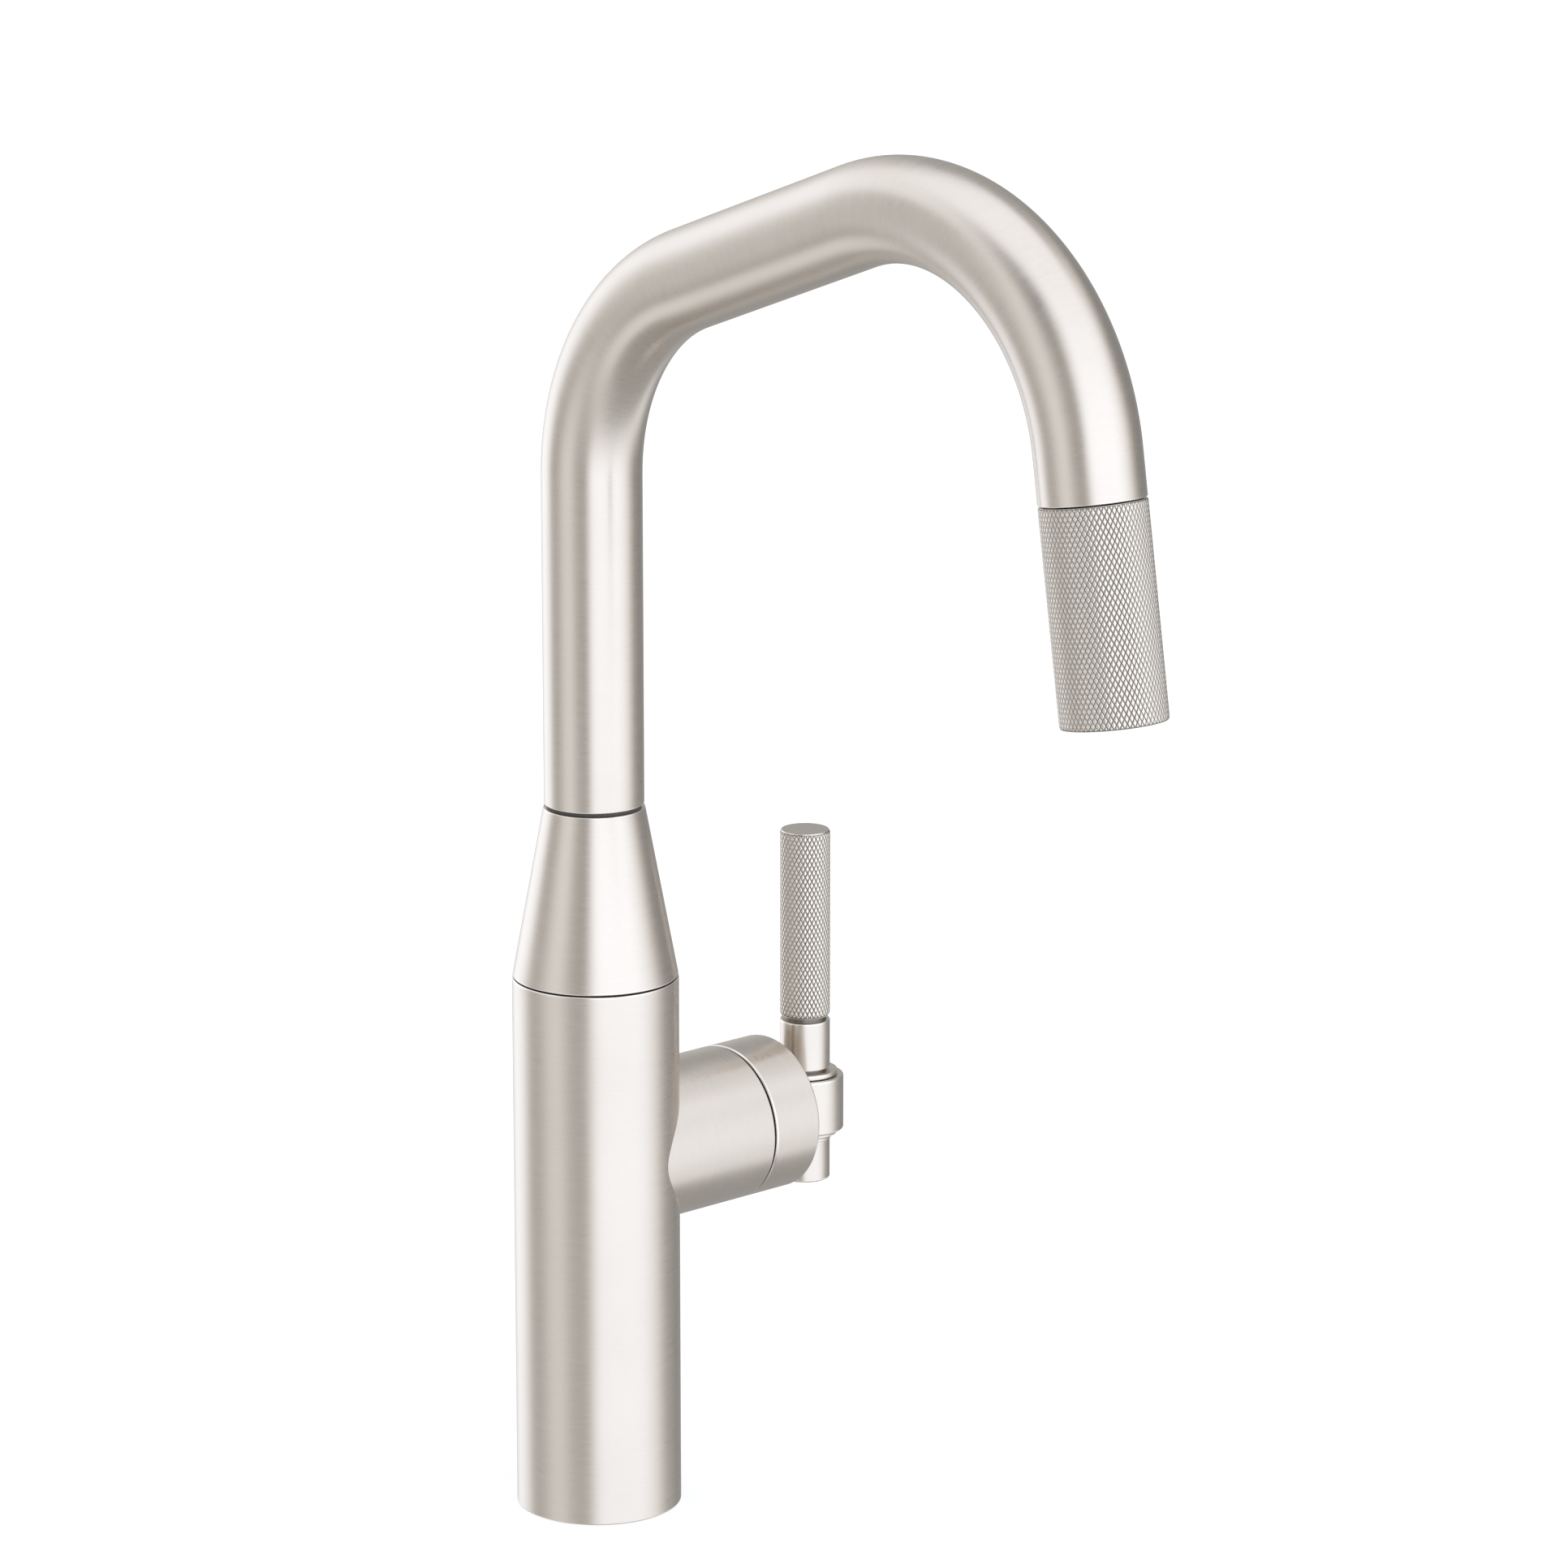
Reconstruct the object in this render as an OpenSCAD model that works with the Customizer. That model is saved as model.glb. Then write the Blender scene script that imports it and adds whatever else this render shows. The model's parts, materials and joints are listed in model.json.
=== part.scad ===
// Pull down kitchen faucet: a column with a side lever, a cone, a bent swivel spout and a spray head.
// The origin is the middle of the column's underside, on the deck. +Z is up, +X is the way the
// spout points and +Y is the way the lever's arm points. Sizes are millimetres.

/* [Column] */
// Outer diameter of the column
column_d = 53.2; // [52:0.2:66]
// Height of the column, from the deck to the cone
column_h = 176; // [166:1:220]
// Wall of the column and of the arm
column_wall = 2.4; // [2:0.1:2.8]
// Height of the cone above the column
cone_h = 55.6; // [52:0.2:70]
// Dark seam between the column and the cone
cone_seam = 0.4; // [0.3:0.1:1]

/* [Spout] */
// Outer diameter of the spout tube and of the spray head
tube_d = 32; // [30:0.2:40]
// Wall of the spout tube
tube_wall = 1.5; // [1.2:0.1:2]
// Thickness of the glide ring under the spout tube
glide_t = 1.2; // [0.8:0.1:2]
// Straight riser above the glide ring
riser_l = 105.7; // [60:0.1:160]
// Centre line radius of the first bend
bend_1_r = 72; // [50:1:100]
// Rise of the top run above level, in degrees
top_rise = 20.3; // [0:0.1:40]
// Straight length of the top run
top_run_l = 80.3; // [40:0.1:140]
// Centre line radius of the second bend
bend_2_r = 72.5; // [50:0.5:100]
// Tilt of the outlet from plumb, in degrees
outlet_tilt = 8.9; // [0:0.1:20]
// Straight length above the spray head
outlet_l = 14; // [13:0.5:30]

/* [Spray head] */
// Length of the spray head
head_l = 64.6; // [56:0.2:90]
// Wall of the knurled shell
shell_wall = 1.8; // [1.4:0.1:2.2]
// Outer diameter of the spray hose
hose_d = 10; // [8:0.5:10.5]

/* [Arm and lever] */
// Height of the arm's axis above the deck
arm_z = 116; // [90:1:124]
// Outer diameter of the arm and of its cap
arm_d = 50.5; // [49:0.5:51]
// Length of the arm beyond the column
arm_l = 27.8; // [26:0.2:40]
// Dark seam between the arm and the cap
cap_seam = 0.8; // [0.5:0.1:1.2]
// Length of the cap
cap_l = 18.6; // [17:0.2:24]
// Gap between the cap and the lever's collar
collar_gap = 3.6; // [3.4:0.1:8]
// Outer diameter of the collar
collar_d = 25.5; // [25:0.5:30]
// Outer diameter of the lever's grip, ferrule and foot
grip_d = 16.5; // [16:0.5:19]
// Length of the knurled grip
grip_l = 62.7; // [45:0.1:90]

/* [Deck fixing] */
// Outer diameter of the shank's thread
shank_d = 33; // [33:0.5:36]
// Thickness of the deck that is clamped
deck_t = 30; // [8:1:40]
// Length of the shank below the deck's top
shank_l = 64; // [60:1:90]
// Outer diameter of the copper supply tubes
supply_d = 8; // [6:0.5:8]

/* [Hidden] */
$fn = 96;

// Clearances
turn_gap = 0.05;   // radial gap of a running fit
seat_gap = 0.02;   // gap between pieces that are screwed or pressed together
slip_gap = 0.3;    // gap between pieces that move past each other
joint_step = 0.08; // how much thinner a bend is than the straight bar that runs into it
joint_lap = 0.4;   // how far a straight bar runs into the bend

// Column
column_r = column_d / 2;
bore_r = column_r - column_wall;
cone_z = column_h + cone_seam;
cone_top_z = column_h + cone_h;
cone_top_r = tube_d / 2 + 0.2;
cone_wall = 2;
gasket_t = 1.6;
base_ring_z = gasket_t + seat_gap;
base_ring_t = 9;

// Spout
tube_r = tube_d / 2;
tube_in_r = tube_r - tube_wall;
tube_z = cone_top_z + glide_t;
bend_1_z = tube_z + riser_l;
run_dir = [cos(top_rise), 0, sin(top_rise)];
out_dir = [sin(outlet_tilt), 0, -cos(outlet_tilt)];
run_start = [bend_1_r * (1 - sin(top_rise)), 0, bend_1_z + bend_1_r * cos(top_rise)];
run_end = run_start + top_run_l * run_dir;
bend_2_c = run_end + bend_2_r * [sin(top_rise), 0, -cos(top_rise)];
outlet_start = bend_2_c + bend_2_r * [cos(outlet_tilt), 0, sin(outlet_tilt)];
outlet_end = outlet_start + outlet_l * out_dir;

// Swivel inside the cone
spigot_r = tube_in_r - 0.5;
journal_r = spigot_r - 1.6;
spigot_bore_r = 10;
socket_in_r = tube_in_r;
socket_wall = 2.1;
socket_r = socket_in_r + socket_wall;
socket_z = column_h - 12;
socket_lip = 3.6;
socket_floor_t = 12.5;
cone_low_in_r = column_r - 3.2;
cone_high_in_r = cone_top_r - cone_wall + 0.9;
cone_low_z = column_h + socket_lip + 0.6;
cone_high_z = cone_top_z - 5.6;
socket_rise = (cone_low_in_r - socket_r - 0.3) / (cone_low_in_r - cone_high_in_r);
socket_top_z = min(cone_low_z + socket_rise * (cone_high_z - cone_low_z), cone_top_z - 17);
washer_t = 1.5;
washer_z = socket_z + socket_floor_t;
spigot_z = washer_z + washer_t + turn_gap;
shoulder_z = socket_top_z + 0.6;
bush_l = 7;
lower_bush_z = spigot_z + 1;
upper_bush_z = socket_top_z - bush_l;
swivel_ring_r = 1;
screw_groove_z = (lower_bush_z + upper_bush_z + bush_l) / 2;
screw_groove_h = 5;
screw_groove_r = journal_r - 1;

// Spray hose, tubes and shank
hose_r = hose_d / 2;
hose_way_r = hose_r + 0.9;
shank_r = shank_d / 2;
shank_in_r = shank_r - 2.1;
supply_r = supply_d / 2;
supply_low_r = shank_in_r - supply_r - 0.3;
supply_step = 3.9;
supply_port_r = supply_low_r + supply_step;
supply_lean = 20;
supply_mid_l = supply_step * 0.8;
supply_bend_r = (supply_step - supply_mid_l * sin(supply_lean)) / (2 - 2 * cos(supply_lean));
supply_bend_z = 60;
supply_low_z = supply_bend_z - 2 * supply_bend_r * sin(supply_lean)
    - supply_mid_l * cos(supply_lean);
supply_end_z = -shank_l - 26;
bead_z = -shank_l - 8;
port_depth = 12;
hose_end_z = -shank_l + 12;
nipple_l = 14;

// Valve and cartridge, along the arm from the column's axis
valve_r = bore_r - 0.2;
valve_z = arm_z - 32;
valve_h = 58;
arm_r = arm_d / 2;
arm_bore_r = arm_r - column_wall + 0.1;
arm_end = column_r + arm_l;
seat_y = hose_way_r + 7.6;
seat_r = arm_bore_r - 0.25;
seat_spigot_r = 19.9;
seat_floor_y = valve_r + 0.2;
cartridge_y = seat_floor_y + 2.8;
cartridge_r = 17.5;
seat_neck_r = 20.4;
seat_neck_y = arm_end - 0.6;
pivot_y = arm_end - 0.4;
seal_t = 1.8;
base_y = cartridge_y + 0.9;
disc_y = cartridge_y + 6;
disc_t = 4;
disc_r = 14.2;
moving_y = disc_y + disc_t + seat_gap;
moving_t = 3.5;
moving_r = 10.5;
carrier_y = moving_y + moving_t + seat_gap;
carrier_end = pivot_y - 7;
stem_ball_y = pivot_y - 10;
guide_y = pivot_y - 5.7;
guide_end = pivot_y + 5;
guide_r = 11;
housing_end = pivot_y + 3;
neck_end = pivot_y + 8;
nut_flange_y = neck_end + 1.4;
gallery_x = 9.3;
gallery_z = -6;
gallery_r = 2.3;
mixed_z = 8;

// Cap
cap_y = arm_end + cap_seam;
cap_end = cap_y + cap_l;
cap_wall = 3;
cap_bore_r = arm_bore_r - 0.35;
slot_r = 4.35;
slot_drop = 5.4;

// Lever
collar_r = collar_d / 2;
grip_r = grip_d / 2;
lever_y = cap_end + collar_gap + collar_r;
stem_r = 4;
stem_thread_r = 3.5;
rod_r = 7;
rod_thin_r = 5;
collar_z = arm_z - 9;
collar_h = 18.5;
collar_top_z = collar_z + collar_h;
upper_ring_t = 1.4;
upper_ring_z = collar_top_z + 0.3;
ferrule_z = upper_ring_z + upper_ring_t + 0.9;
ferrule_l = 16.2;
grip_z = ferrule_z + ferrule_l + 1.5;
lower_ring_z = collar_z - 1.6;
foot_ring_z = lower_ring_z - 1.75;
foot_z = arm_z - 26;

// Spray head, along the outlet with 0 at the end of the spout tube
head_gap = 0.4;
shell_in_r = tube_r - shell_wall;
neck_r = 9.6;
neck_rise = 5;
ferrule_top = 13.95;
hose_ferrule_r = hose_r + 1.4;
dock_way_r = hose_ferrule_r + 0.8;
magnet_in_r = neck_r + 1.4;
magnet_out_r = tube_in_r - 0.9;
flange_low = 3.1;
core_r = shell_in_r - 0.2;
core_top = flange_low + seat_gap;
core_end = head_l - 18.6;
chamber_r = 9;
chamber_top = 12;
face_top = core_end + seat_gap;
face_end = head_l - 0.4;
face_in_r = core_r - 1.5;
aerator_r = 7;

// Helpers

module ring(r_out, r_in, h) {
    rotate_extrude() translate([r_in, 0]) square([r_out - r_in, h]);
}

// A solid cylinder with a bevel at its lower and upper edge
module bevelled(r, h, low, high) {
    rotate_extrude()
        polygon([[0, 0], [r - low, 0], [r, low], [r, h - high], [r - high, h], [0, h]]);
}

module o_ring(centre_r, cord_r) {
    rotate_extrude() translate([centre_r, 0]) circle(cord_r);
}

// Turns local +Z to the arm's direction, +Y, with local +Y down
module along_arm(y) {
    translate([0, y, arm_z]) rotate([-90, 0, 0]) children();
}

// Local -Z runs down the outlet, from the end of the spout tube
module at_outlet(down) {
    translate(outlet_end + down * out_dir) rotate([0, -outlet_tilt, 0]) children();
}

// Round bar bent on a plane through the Y direction, from angle a0 to a1 about centre c
module bend(c, bend_r, a0, a1, r) {
    translate(c) rotate([90, 0, 0]) rotate([0, 0, a0])
        rotate_extrude(angle = a1 - a0) translate([bend_r, 0]) circle(r - joint_step);
}

// Straight round bar from a point, leaning away from +Z towards +X by the angle lean. Its length
// is counted from the point, and before and after are how far it runs on at its two ends.
module bar(from, lean, l, before, after, r) {
    translate(from) rotate([0, lean, 0]) translate([0, 0, -before])
        cylinder(h = before + l + after, r = r);
}

// Round bar along the spout's centre line, from the height low_z to past the end of the tube
module spout_run(r, low_z, past) {
    bar([0, 0, low_z], 0, bend_1_z - low_z, 0, joint_lap, r);
    bend([bend_1_r, 0, bend_1_z], bend_1_r, 90 + top_rise, 180, r);
    bar(run_start, 90 - top_rise, top_run_l, joint_lap, joint_lap, r);
    bend(bend_2_c, bend_2_r, outlet_tilt, 90 + top_rise, r);
    bar(outlet_start, 180 - outlet_tilt, outlet_l, joint_lap, past, r);
}

// Column

module column_body() {
    color("#cfc7bf") difference() {
        union() {
            bevelled(column_r, column_h, 0.3, 0.6);
            along_arm(0) bevelled(arm_r, arm_end, 0, 0.4);
        }
        translate([0, 0, -1]) cylinder(h = column_h + 2, r = bore_r);
        along_arm(0) cylinder(h = arm_end + 1, r = arm_bore_r);
    }
}

module base_gasket() {
    color("#2b2b2b") ring(bore_r - 0.1, shank_r + 0.3, gasket_t);
}

module base_ring() {
    color("#c9a75a") translate([0, 0, base_ring_z])
        ring(bore_r - seat_gap, shank_r - 0.3 + seat_gap, base_ring_t);
}

module mounting_shank() {
    color("#c9a75a") {
        translate([0, 0, -shank_l]) ring(shank_r, shank_in_r, shank_l);
        ring(shank_r - 0.3, shank_in_r, base_ring_z + base_ring_t);
    }
}

module rubber_washer() {
    color("#2b2b2b") translate([0, 0, -deck_t - 3]) ring(column_r, shank_r + 0.4, 3);
}

module metal_washer() {
    color("#b9bcc0") translate([0, 0, -deck_t - 5 - seat_gap])
        ring(column_r, shank_r + 0.4, 2);
}

module mounting_nut() {
    nut_z = -deck_t - 18;
    color("#c9a75a") translate([0, 0, nut_z]) difference() {
        ring(column_r - 0.6, shank_r + seat_gap, 11);
        for (side = [-1, 1]) {
            translate([side * (shank_r + 4.8), 0, -1]) cylinder(h = 13, r = 2.55);
        }
        for (side = [-1, 1]) {
            translate([-4, side * (column_r - 2) - 4, -1]) cube([8, 8, 5]);
        }
    }
}

module nut_screws() {
    color("#8f9297") for (side = [-1, 1]) {
        translate([side * (shank_r + 4.8), 0, -deck_t - 5.1]) rotate([180, 0, 0])
            difference() {
                union() {
                    cylinder(h = 17, r = 2.5);
                    translate([0, 0, 13.6]) cylinder(h = 3.4, r = 3.4);
                }
                translate([0, 0, 14.8]) cylinder(h = 3, r = 1.6, $fn = 6);
            }
    }
}

// Valve

// A port on the valve's underside, at an angle round the column
module at_port(angle) {
    rotate([0, 0, angle]) translate([supply_port_r, 0, 0]) children();
}

module valve_body() {
    mixed_y = hose_way_r + 4.2;
    mixed_x = hose_way_r + 5.6;
    color("#c9a75a") difference() {
        translate([0, 0, valve_z]) cylinder(h = valve_h, r = valve_r);
        translate([0, 0, valve_z - 1]) cylinder(h = valve_h + 2, r = hose_way_r);
        along_arm(seat_y) cylinder(h = column_r, r = seat_spigot_r + seat_gap);
        // hot and cold water rise from the two side ports and run along the arm to the seat
        for (side = [-1, 1]) {
            translate([side * supply_port_r, 0, 0]) port(arm_z + gallery_z);
            translate([side * gallery_x, 0, 0]) along_arm(0) translate([0, -gallery_z, 0])
                cylinder(h = column_r, r = gallery_r);
        }
        // mixed water runs back round the hose's way and falls to the rear port
        translate([0, -supply_port_r, 0]) port(arm_z + mixed_z);
        along_arm(mixed_y) translate([0, -mixed_z, 0]) cylinder(h = column_r, r = gallery_r);
        for (y = [-supply_port_r, mixed_y]) {
            translate([0, y, arm_z + mixed_z]) rotate([0, 90, 0])
                cylinder(h = mixed_x + gallery_r / 2, r = gallery_r - 0.2);
        }
        translate([mixed_x, -supply_port_r - gallery_r, arm_z + mixed_z]) rotate([-90, 0, 0])
            cylinder(h = supply_port_r + mixed_y + 2 * gallery_r, r = gallery_r);
    }
}

// A socket for a tube in the valve's underside, with its waterway on up to the height top_z
module port(top_z) {
    translate([0, 0, valve_z - 1]) {
        cylinder(h = port_depth + 1, r = supply_r + seat_gap);
        cylinder(h = top_z - valve_z + 3, r = supply_r - 1);
    }
}

// Round bar along a supply tube: down from its port, a lean inwards, then down through the shank
module supply_bar(r, extra) {
    mid = [
        supply_port_r - supply_bend_r * (1 - cos(supply_lean)),
        0,
        supply_bend_z - supply_bend_r * sin(supply_lean)
    ];
    bar([supply_port_r, 0, supply_bend_z], 0, valve_z + port_depth - seat_gap - supply_bend_z,
        joint_lap, extra, r);
    bend([supply_port_r - supply_bend_r, 0, supply_bend_z], supply_bend_r, -supply_lean, 0, r);
    bar(mid, 180 + supply_lean, supply_mid_l, joint_lap, joint_lap, r);
    bend([supply_low_r + supply_bend_r, 0, supply_low_z], supply_bend_r, 180 - supply_lean, 180, r);
    bar([supply_low_r, 0, supply_end_z], 0, supply_low_z - supply_end_z, extra, joint_lap, r);
}

// A supply tube at an angle round the column, with a bead that stops the nut of its fitting
module supply_tube(angle) {
    color("#b87345") rotate([0, 0, angle]) difference() {
        union() {
            supply_bar(supply_r, 0);
            translate([supply_low_r, 0, bead_z]) cylinder(h = 1.6, r = supply_r + 0.7);
        }
        supply_bar(supply_r - 1, 1);
    }
}

module hot_supply_tube() {
    supply_tube(180);
}

module cold_supply_tube() {
    supply_tube(0);
}

module mixed_outlet_tube() {
    supply_tube(-90);
}

// The three waterways through the seat, the cartridge's base and the fixed disc
module waterways(r, y, l) {
    along_arm(y) {
        for (side = [-1, 1]) {
            translate([side * gallery_x, -gallery_z, 0]) cylinder(h = l, r = r);
        }
        translate([0, -mixed_z, 0]) cylinder(h = l, r = r);
    }
}

module cartridge_seat() {
    color("#c9a75a") difference() {
        union() {
            along_arm(seat_y + seat_gap) cylinder(h = seat_floor_y - seat_y, r = seat_spigot_r);
            along_arm(seat_floor_y) cylinder(h = seat_neck_y - seat_floor_y, r = seat_r);
            along_arm(seat_neck_y) cylinder(h = neck_end - seat_neck_y, r = seat_neck_r);
        }
        along_arm(cartridge_y) cylinder(h = neck_end - cartridge_y + 1, r = cartridge_r + 0.1);
        along_arm(housing_end) cylinder(h = neck_end - housing_end + 1, r = cartridge_r + 1.1);
        waterways(gallery_r, seat_y - 1, cartridge_y - seat_y + 2);
    }
}

module cartridge_seals() {
    color("#2b2b2b") difference() {
        waterways(gallery_r + 1.3, cartridge_y + seat_gap, seal_t);
        waterways(gallery_r + 0.1, cartridge_y - 1, seal_t + 2);
    }
}

module cartridge_base() {
    color("#e8e6df") difference() {
        along_arm(base_y) cylinder(h = disc_y - base_y - seat_gap, r = cartridge_r);
        waterways(gallery_r, base_y - 1, disc_y - base_y + 2);
        waterways(gallery_r + 1.4, base_y - 1, cartridge_y + seal_t - base_y + 1 + 2 * seat_gap);
    }
}

module fixed_disc() {
    color("#f3f1ea") difference() {
        along_arm(disc_y) cylinder(h = disc_t, r = disc_r);
        waterways(gallery_r, disc_y - 1, disc_t + 2);
    }
}

module cartridge_housing() {
    color("#e8e6df") difference() {
        union() {
            along_arm(disc_y) cylinder(h = housing_end - disc_y, r = cartridge_r);
            along_arm(housing_end) cylinder(h = 4, r = guide_r + 1.6);
        }
        along_arm(disc_y - 1) cylinder(h = guide_y - disc_y + 0.6, r = disc_r + 0.3);
        along_arm(disc_y) cylinder(h = neck_end, r = guide_r + turn_gap);
    }
}

module cartridge_nut() {
    color("#c9a75a") difference() {
        union() {
            along_arm(housing_end + seat_gap)
                cylinder(h = nut_flange_y - housing_end - seat_gap, r = cartridge_r + 1);
            along_arm(nut_flange_y) cylinder(h = 2.4, r = seat_neck_r - 0.4);
        }
        along_arm(housing_end - 1) cylinder(h = 10, r = guide_r + 1.8);
        for (turn = [0:60:300]) {
            along_arm(nut_flange_y + 0.6) rotate([0, 0, turn])
                translate([guide_r + 5, -2, 0]) cube([8, 4, 4]);
        }
    }
}

module cap_bush() {
    color("#d9d6cc") along_arm(cap_y + 0.5)
        ring(cap_bore_r - turn_gap, seat_neck_r + seat_gap, neck_end - cap_y - 1);
}

module cap_retaining_ring() {
    color("#8f9297") along_arm(neck_end + seat_gap) difference() {
        ring(cap_bore_r + 0.5, cartridge_r + 1.1, 1.2);
        translate([cartridge_r, -3, -1]) cube([10, 6, 4]);
    }
}

// Swivel

module swivel_socket() {
    color("#c9a75a") difference() {
        union() {
            translate([0, 0, socket_z])
                cylinder(h = column_h - socket_z, r = bore_r - seat_gap);
            translate([0, 0, column_h]) cylinder(h = socket_lip, r = bore_r - 0.15);
            translate([0, 0, socket_z])
                cylinder(h = socket_top_z - socket_z, r = socket_r);
        }
        translate([0, 0, washer_z]) cylinder(h = cone_h * 2, r = socket_in_r);
        translate([0, 0, socket_z - 1]) cylinder(h = cone_h, r = spigot_bore_r);
        translate([0, 0, screw_groove_z]) rotate([0, -90, 0]) cylinder(h = column_r, r = 2.02);
    }
}

module cone_shroud() {
    lean = (column_r - cone_top_r) / (cone_top_z - cone_z);
    color("#cfc7bf") rotate_extrude() polygon([
        [bore_r - 0.1, cone_z],
        [column_r - 0.5, cone_z],
        [column_r - 0.5 * lean, cone_z + 0.5],
        [cone_top_r, cone_top_z - 0.4],
        [cone_top_r - 0.4, cone_top_z],
        [spigot_r + slip_gap, cone_top_z],
        [spigot_r + slip_gap, cone_high_z],
        [cone_high_in_r, cone_high_z],
        [cone_low_in_r, cone_low_z],
        [bore_r - 0.1, cone_low_z]
    ]);
}

module swivel_bushes() {
    color("#d9d6cc") for (z = [lower_bush_z, upper_bush_z]) {
        translate([0, 0, z]) ring(socket_in_r - seat_gap, journal_r + turn_gap, bush_l);
    }
}

module thrust_washer() {
    color("#d9d6cc") translate([0, 0, washer_z + seat_gap])
        ring(socket_in_r - 0.2, spigot_bore_r, washer_t - seat_gap);
}

module glide_ring() {
    color("#3a3a3a") translate([0, 0, cone_top_z + seat_gap])
        ring(tube_r - 1, spigot_r + slip_gap, glide_t - seat_gap - turn_gap);
}

module spout_retaining_screw() {
    color("#8f9297") translate([-screw_groove_r - slip_gap, 0, screw_groove_z])
        rotate([0, -90, 0]) difference() {
            bevelled(2, socket_r - screw_groove_r - 0.6, 0.4, 0.2);
            translate([0, 0, 3]) cylinder(h = 4, r = 1, $fn = 6);
        }
}

// Spout

module spout_tube() {
    color("#cfc7bf") difference() {
        spout_run(tube_r, tube_z, 0);
        spout_run(tube_in_r, tube_z - 1, 1);
    }
}

module spout_spigot() {
    color("#c9a75a") rotate_extrude() polygon([
        [spigot_bore_r + 0.2, spigot_z],
        [journal_r - 0.4, spigot_z],
        [journal_r, spigot_z + 0.4],
        [journal_r, screw_groove_z - screw_groove_h / 2],
        [screw_groove_r, screw_groove_z - screw_groove_h / 2],
        [screw_groove_r, screw_groove_z + screw_groove_h / 2],
        [journal_r, screw_groove_z + screw_groove_h / 2],
        [journal_r, shoulder_z],
        [spigot_r, shoulder_z],
        [spigot_r, tube_z],
        [tube_in_r - seat_gap, tube_z],
        [tube_in_r - seat_gap, tube_z + 14],
        [spigot_bore_r + 0.2, tube_z + 14]
    ]);
}

module swivel_o_rings() {
    ring_centre = journal_r + swivel_ring_r + seat_gap;
    color("#2b2b2b") {
        for (z = [lower_bush_z + bush_l + 1.3, upper_bush_z - 1.3]) {
            translate([0, 0, z]) o_ring(min(ring_centre, socket_in_r - swivel_ring_r - turn_gap),
                swivel_ring_r);
        }
    }
}

module dock_collar() {
    color("#3a3a3a") at_outlet(-0.3) difference() {
        cylinder(h = outlet_l - joint_lap - 0.5, r = tube_in_r - seat_gap);
        translate([0, 0, -1]) cylinder(h = outlet_l + 2, r = dock_way_r);
        translate([0, 0, -1]) cylinder(h = neck_rise + 1.2, r = neck_r + slip_gap);
        translate([0, 0, -1]) ring(magnet_out_r, magnet_in_r, 4);
    }
}

module dock_magnet() {
    color("#8f9297") at_outlet(-0.3) ring(magnet_out_r - seat_gap, magnet_in_r + seat_gap, 2.98);
}

module spray_hose() {
    color("#4a4a4c") spout_run(hose_r, hose_end_z, -ferrule_top - seat_gap);
}

module hose_end_nipple() {
    color("#c9a75a") difference() {
        union() {
            translate([0, 0, hose_end_z - nipple_l]) cylinder(h = nipple_l - seat_gap, r = 3.6);
            translate([0, 0, hose_end_z - 6]) cylinder(h = 6 - seat_gap, r = hose_r);
        }
        translate([0, 0, hose_end_z - nipple_l - 1]) cylinder(h = nipple_l + 2, r = 2.4);
    }
}

// Spray head

module head_shell() {
    color("#cfc7bf") at_outlet(head_l) rotate_extrude() polygon([
        [shell_in_r, 0],
        [tube_r - 0.5, 0],
        [tube_r, 0.5],
        [tube_r, head_l - head_gap - 0.5],
        [tube_r - 0.5, head_l - head_gap],
        [shell_in_r, head_l - head_gap]
    ]);
}

module head_neck() {
    color("#3a3a3a") at_outlet(flange_low) difference() {
        union() {
            cylinder(h = flange_low - head_gap - 0.4, r = shell_in_r - seat_gap);
            bevelled(neck_r, flange_low + neck_rise, 0, 0.8);
        }
        translate([0, 0, -1]) cylinder(h = flange_low + neck_rise + 2, r = hose_r + 0.6);
        translate([0, 0, flange_low - head_gap - 1.4]) ring(magnet_out_r, magnet_in_r, 2);
    }
}

module dock_plate() {
    color("#b9bcc0") at_outlet(head_gap + 1.4 - seat_gap)
        ring(magnet_out_r - seat_gap, magnet_in_r + seat_gap, 1);
}

module hose_ferrule() {
    color("#b9bcc0") difference() {
        union() {
            at_outlet(-neck_rise - seat_gap)
                bevelled(hose_ferrule_r, ferrule_top - neck_rise - seat_gap, 0, 0.6);
            at_outlet(chamber_top - 1) cylinder(h = chamber_top + neck_rise, r = hose_r + 0.5);
        }
        at_outlet(chamber_top) cylinder(h = chamber_top + ferrule_top + 1, r = hose_r - 1.8);
    }
}

module head_core() {
    color("#3a3a3a") at_outlet(core_end) difference() {
        cylinder(h = core_end - core_top, r = core_r);
        translate([0, 0, -1]) cylinder(h = core_end - chamber_top + 1, r = chamber_r);
        cylinder(h = core_end, r = hose_r + 0.6);
        translate([0, 0, 3]) ring(core_r + 1, core_r - 1.9, 2.4);
    }
}

module check_valve() {
    color("#3f7fb5") at_outlet(chamber_top + 10) difference() {
        cylinder(h = 9, r = chamber_r - 0.05);
        translate([0, 0, -1]) cylinder(h = 11, r = 4.4);
    }
}

module flow_regulator() {
    color("#5a9a62") at_outlet(chamber_top + 14.4) difference() {
        cylinder(h = 3.6, r = chamber_r - 0.05);
        for (turn = [0:60:300]) {
            rotate([0, 0, turn]) translate([5.4, 0, -1]) cylinder(h = 6, r = 1.3);
        }
    }
}

module core_o_ring() {
    color("#2b2b2b") at_outlet(core_end - 4.2) o_ring(core_r - 0.9, 0.95);
}

module face_housing() {
    color("#3a3a3a") at_outlet(face_end) difference() {
        cylinder(h = face_end - face_top, r = core_r);
        translate([0, 0, -1]) cylinder(h = face_end - face_top - 1, r = face_in_r);
        cylinder(h = face_end, r = chamber_r - 1);
    }
}

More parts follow.
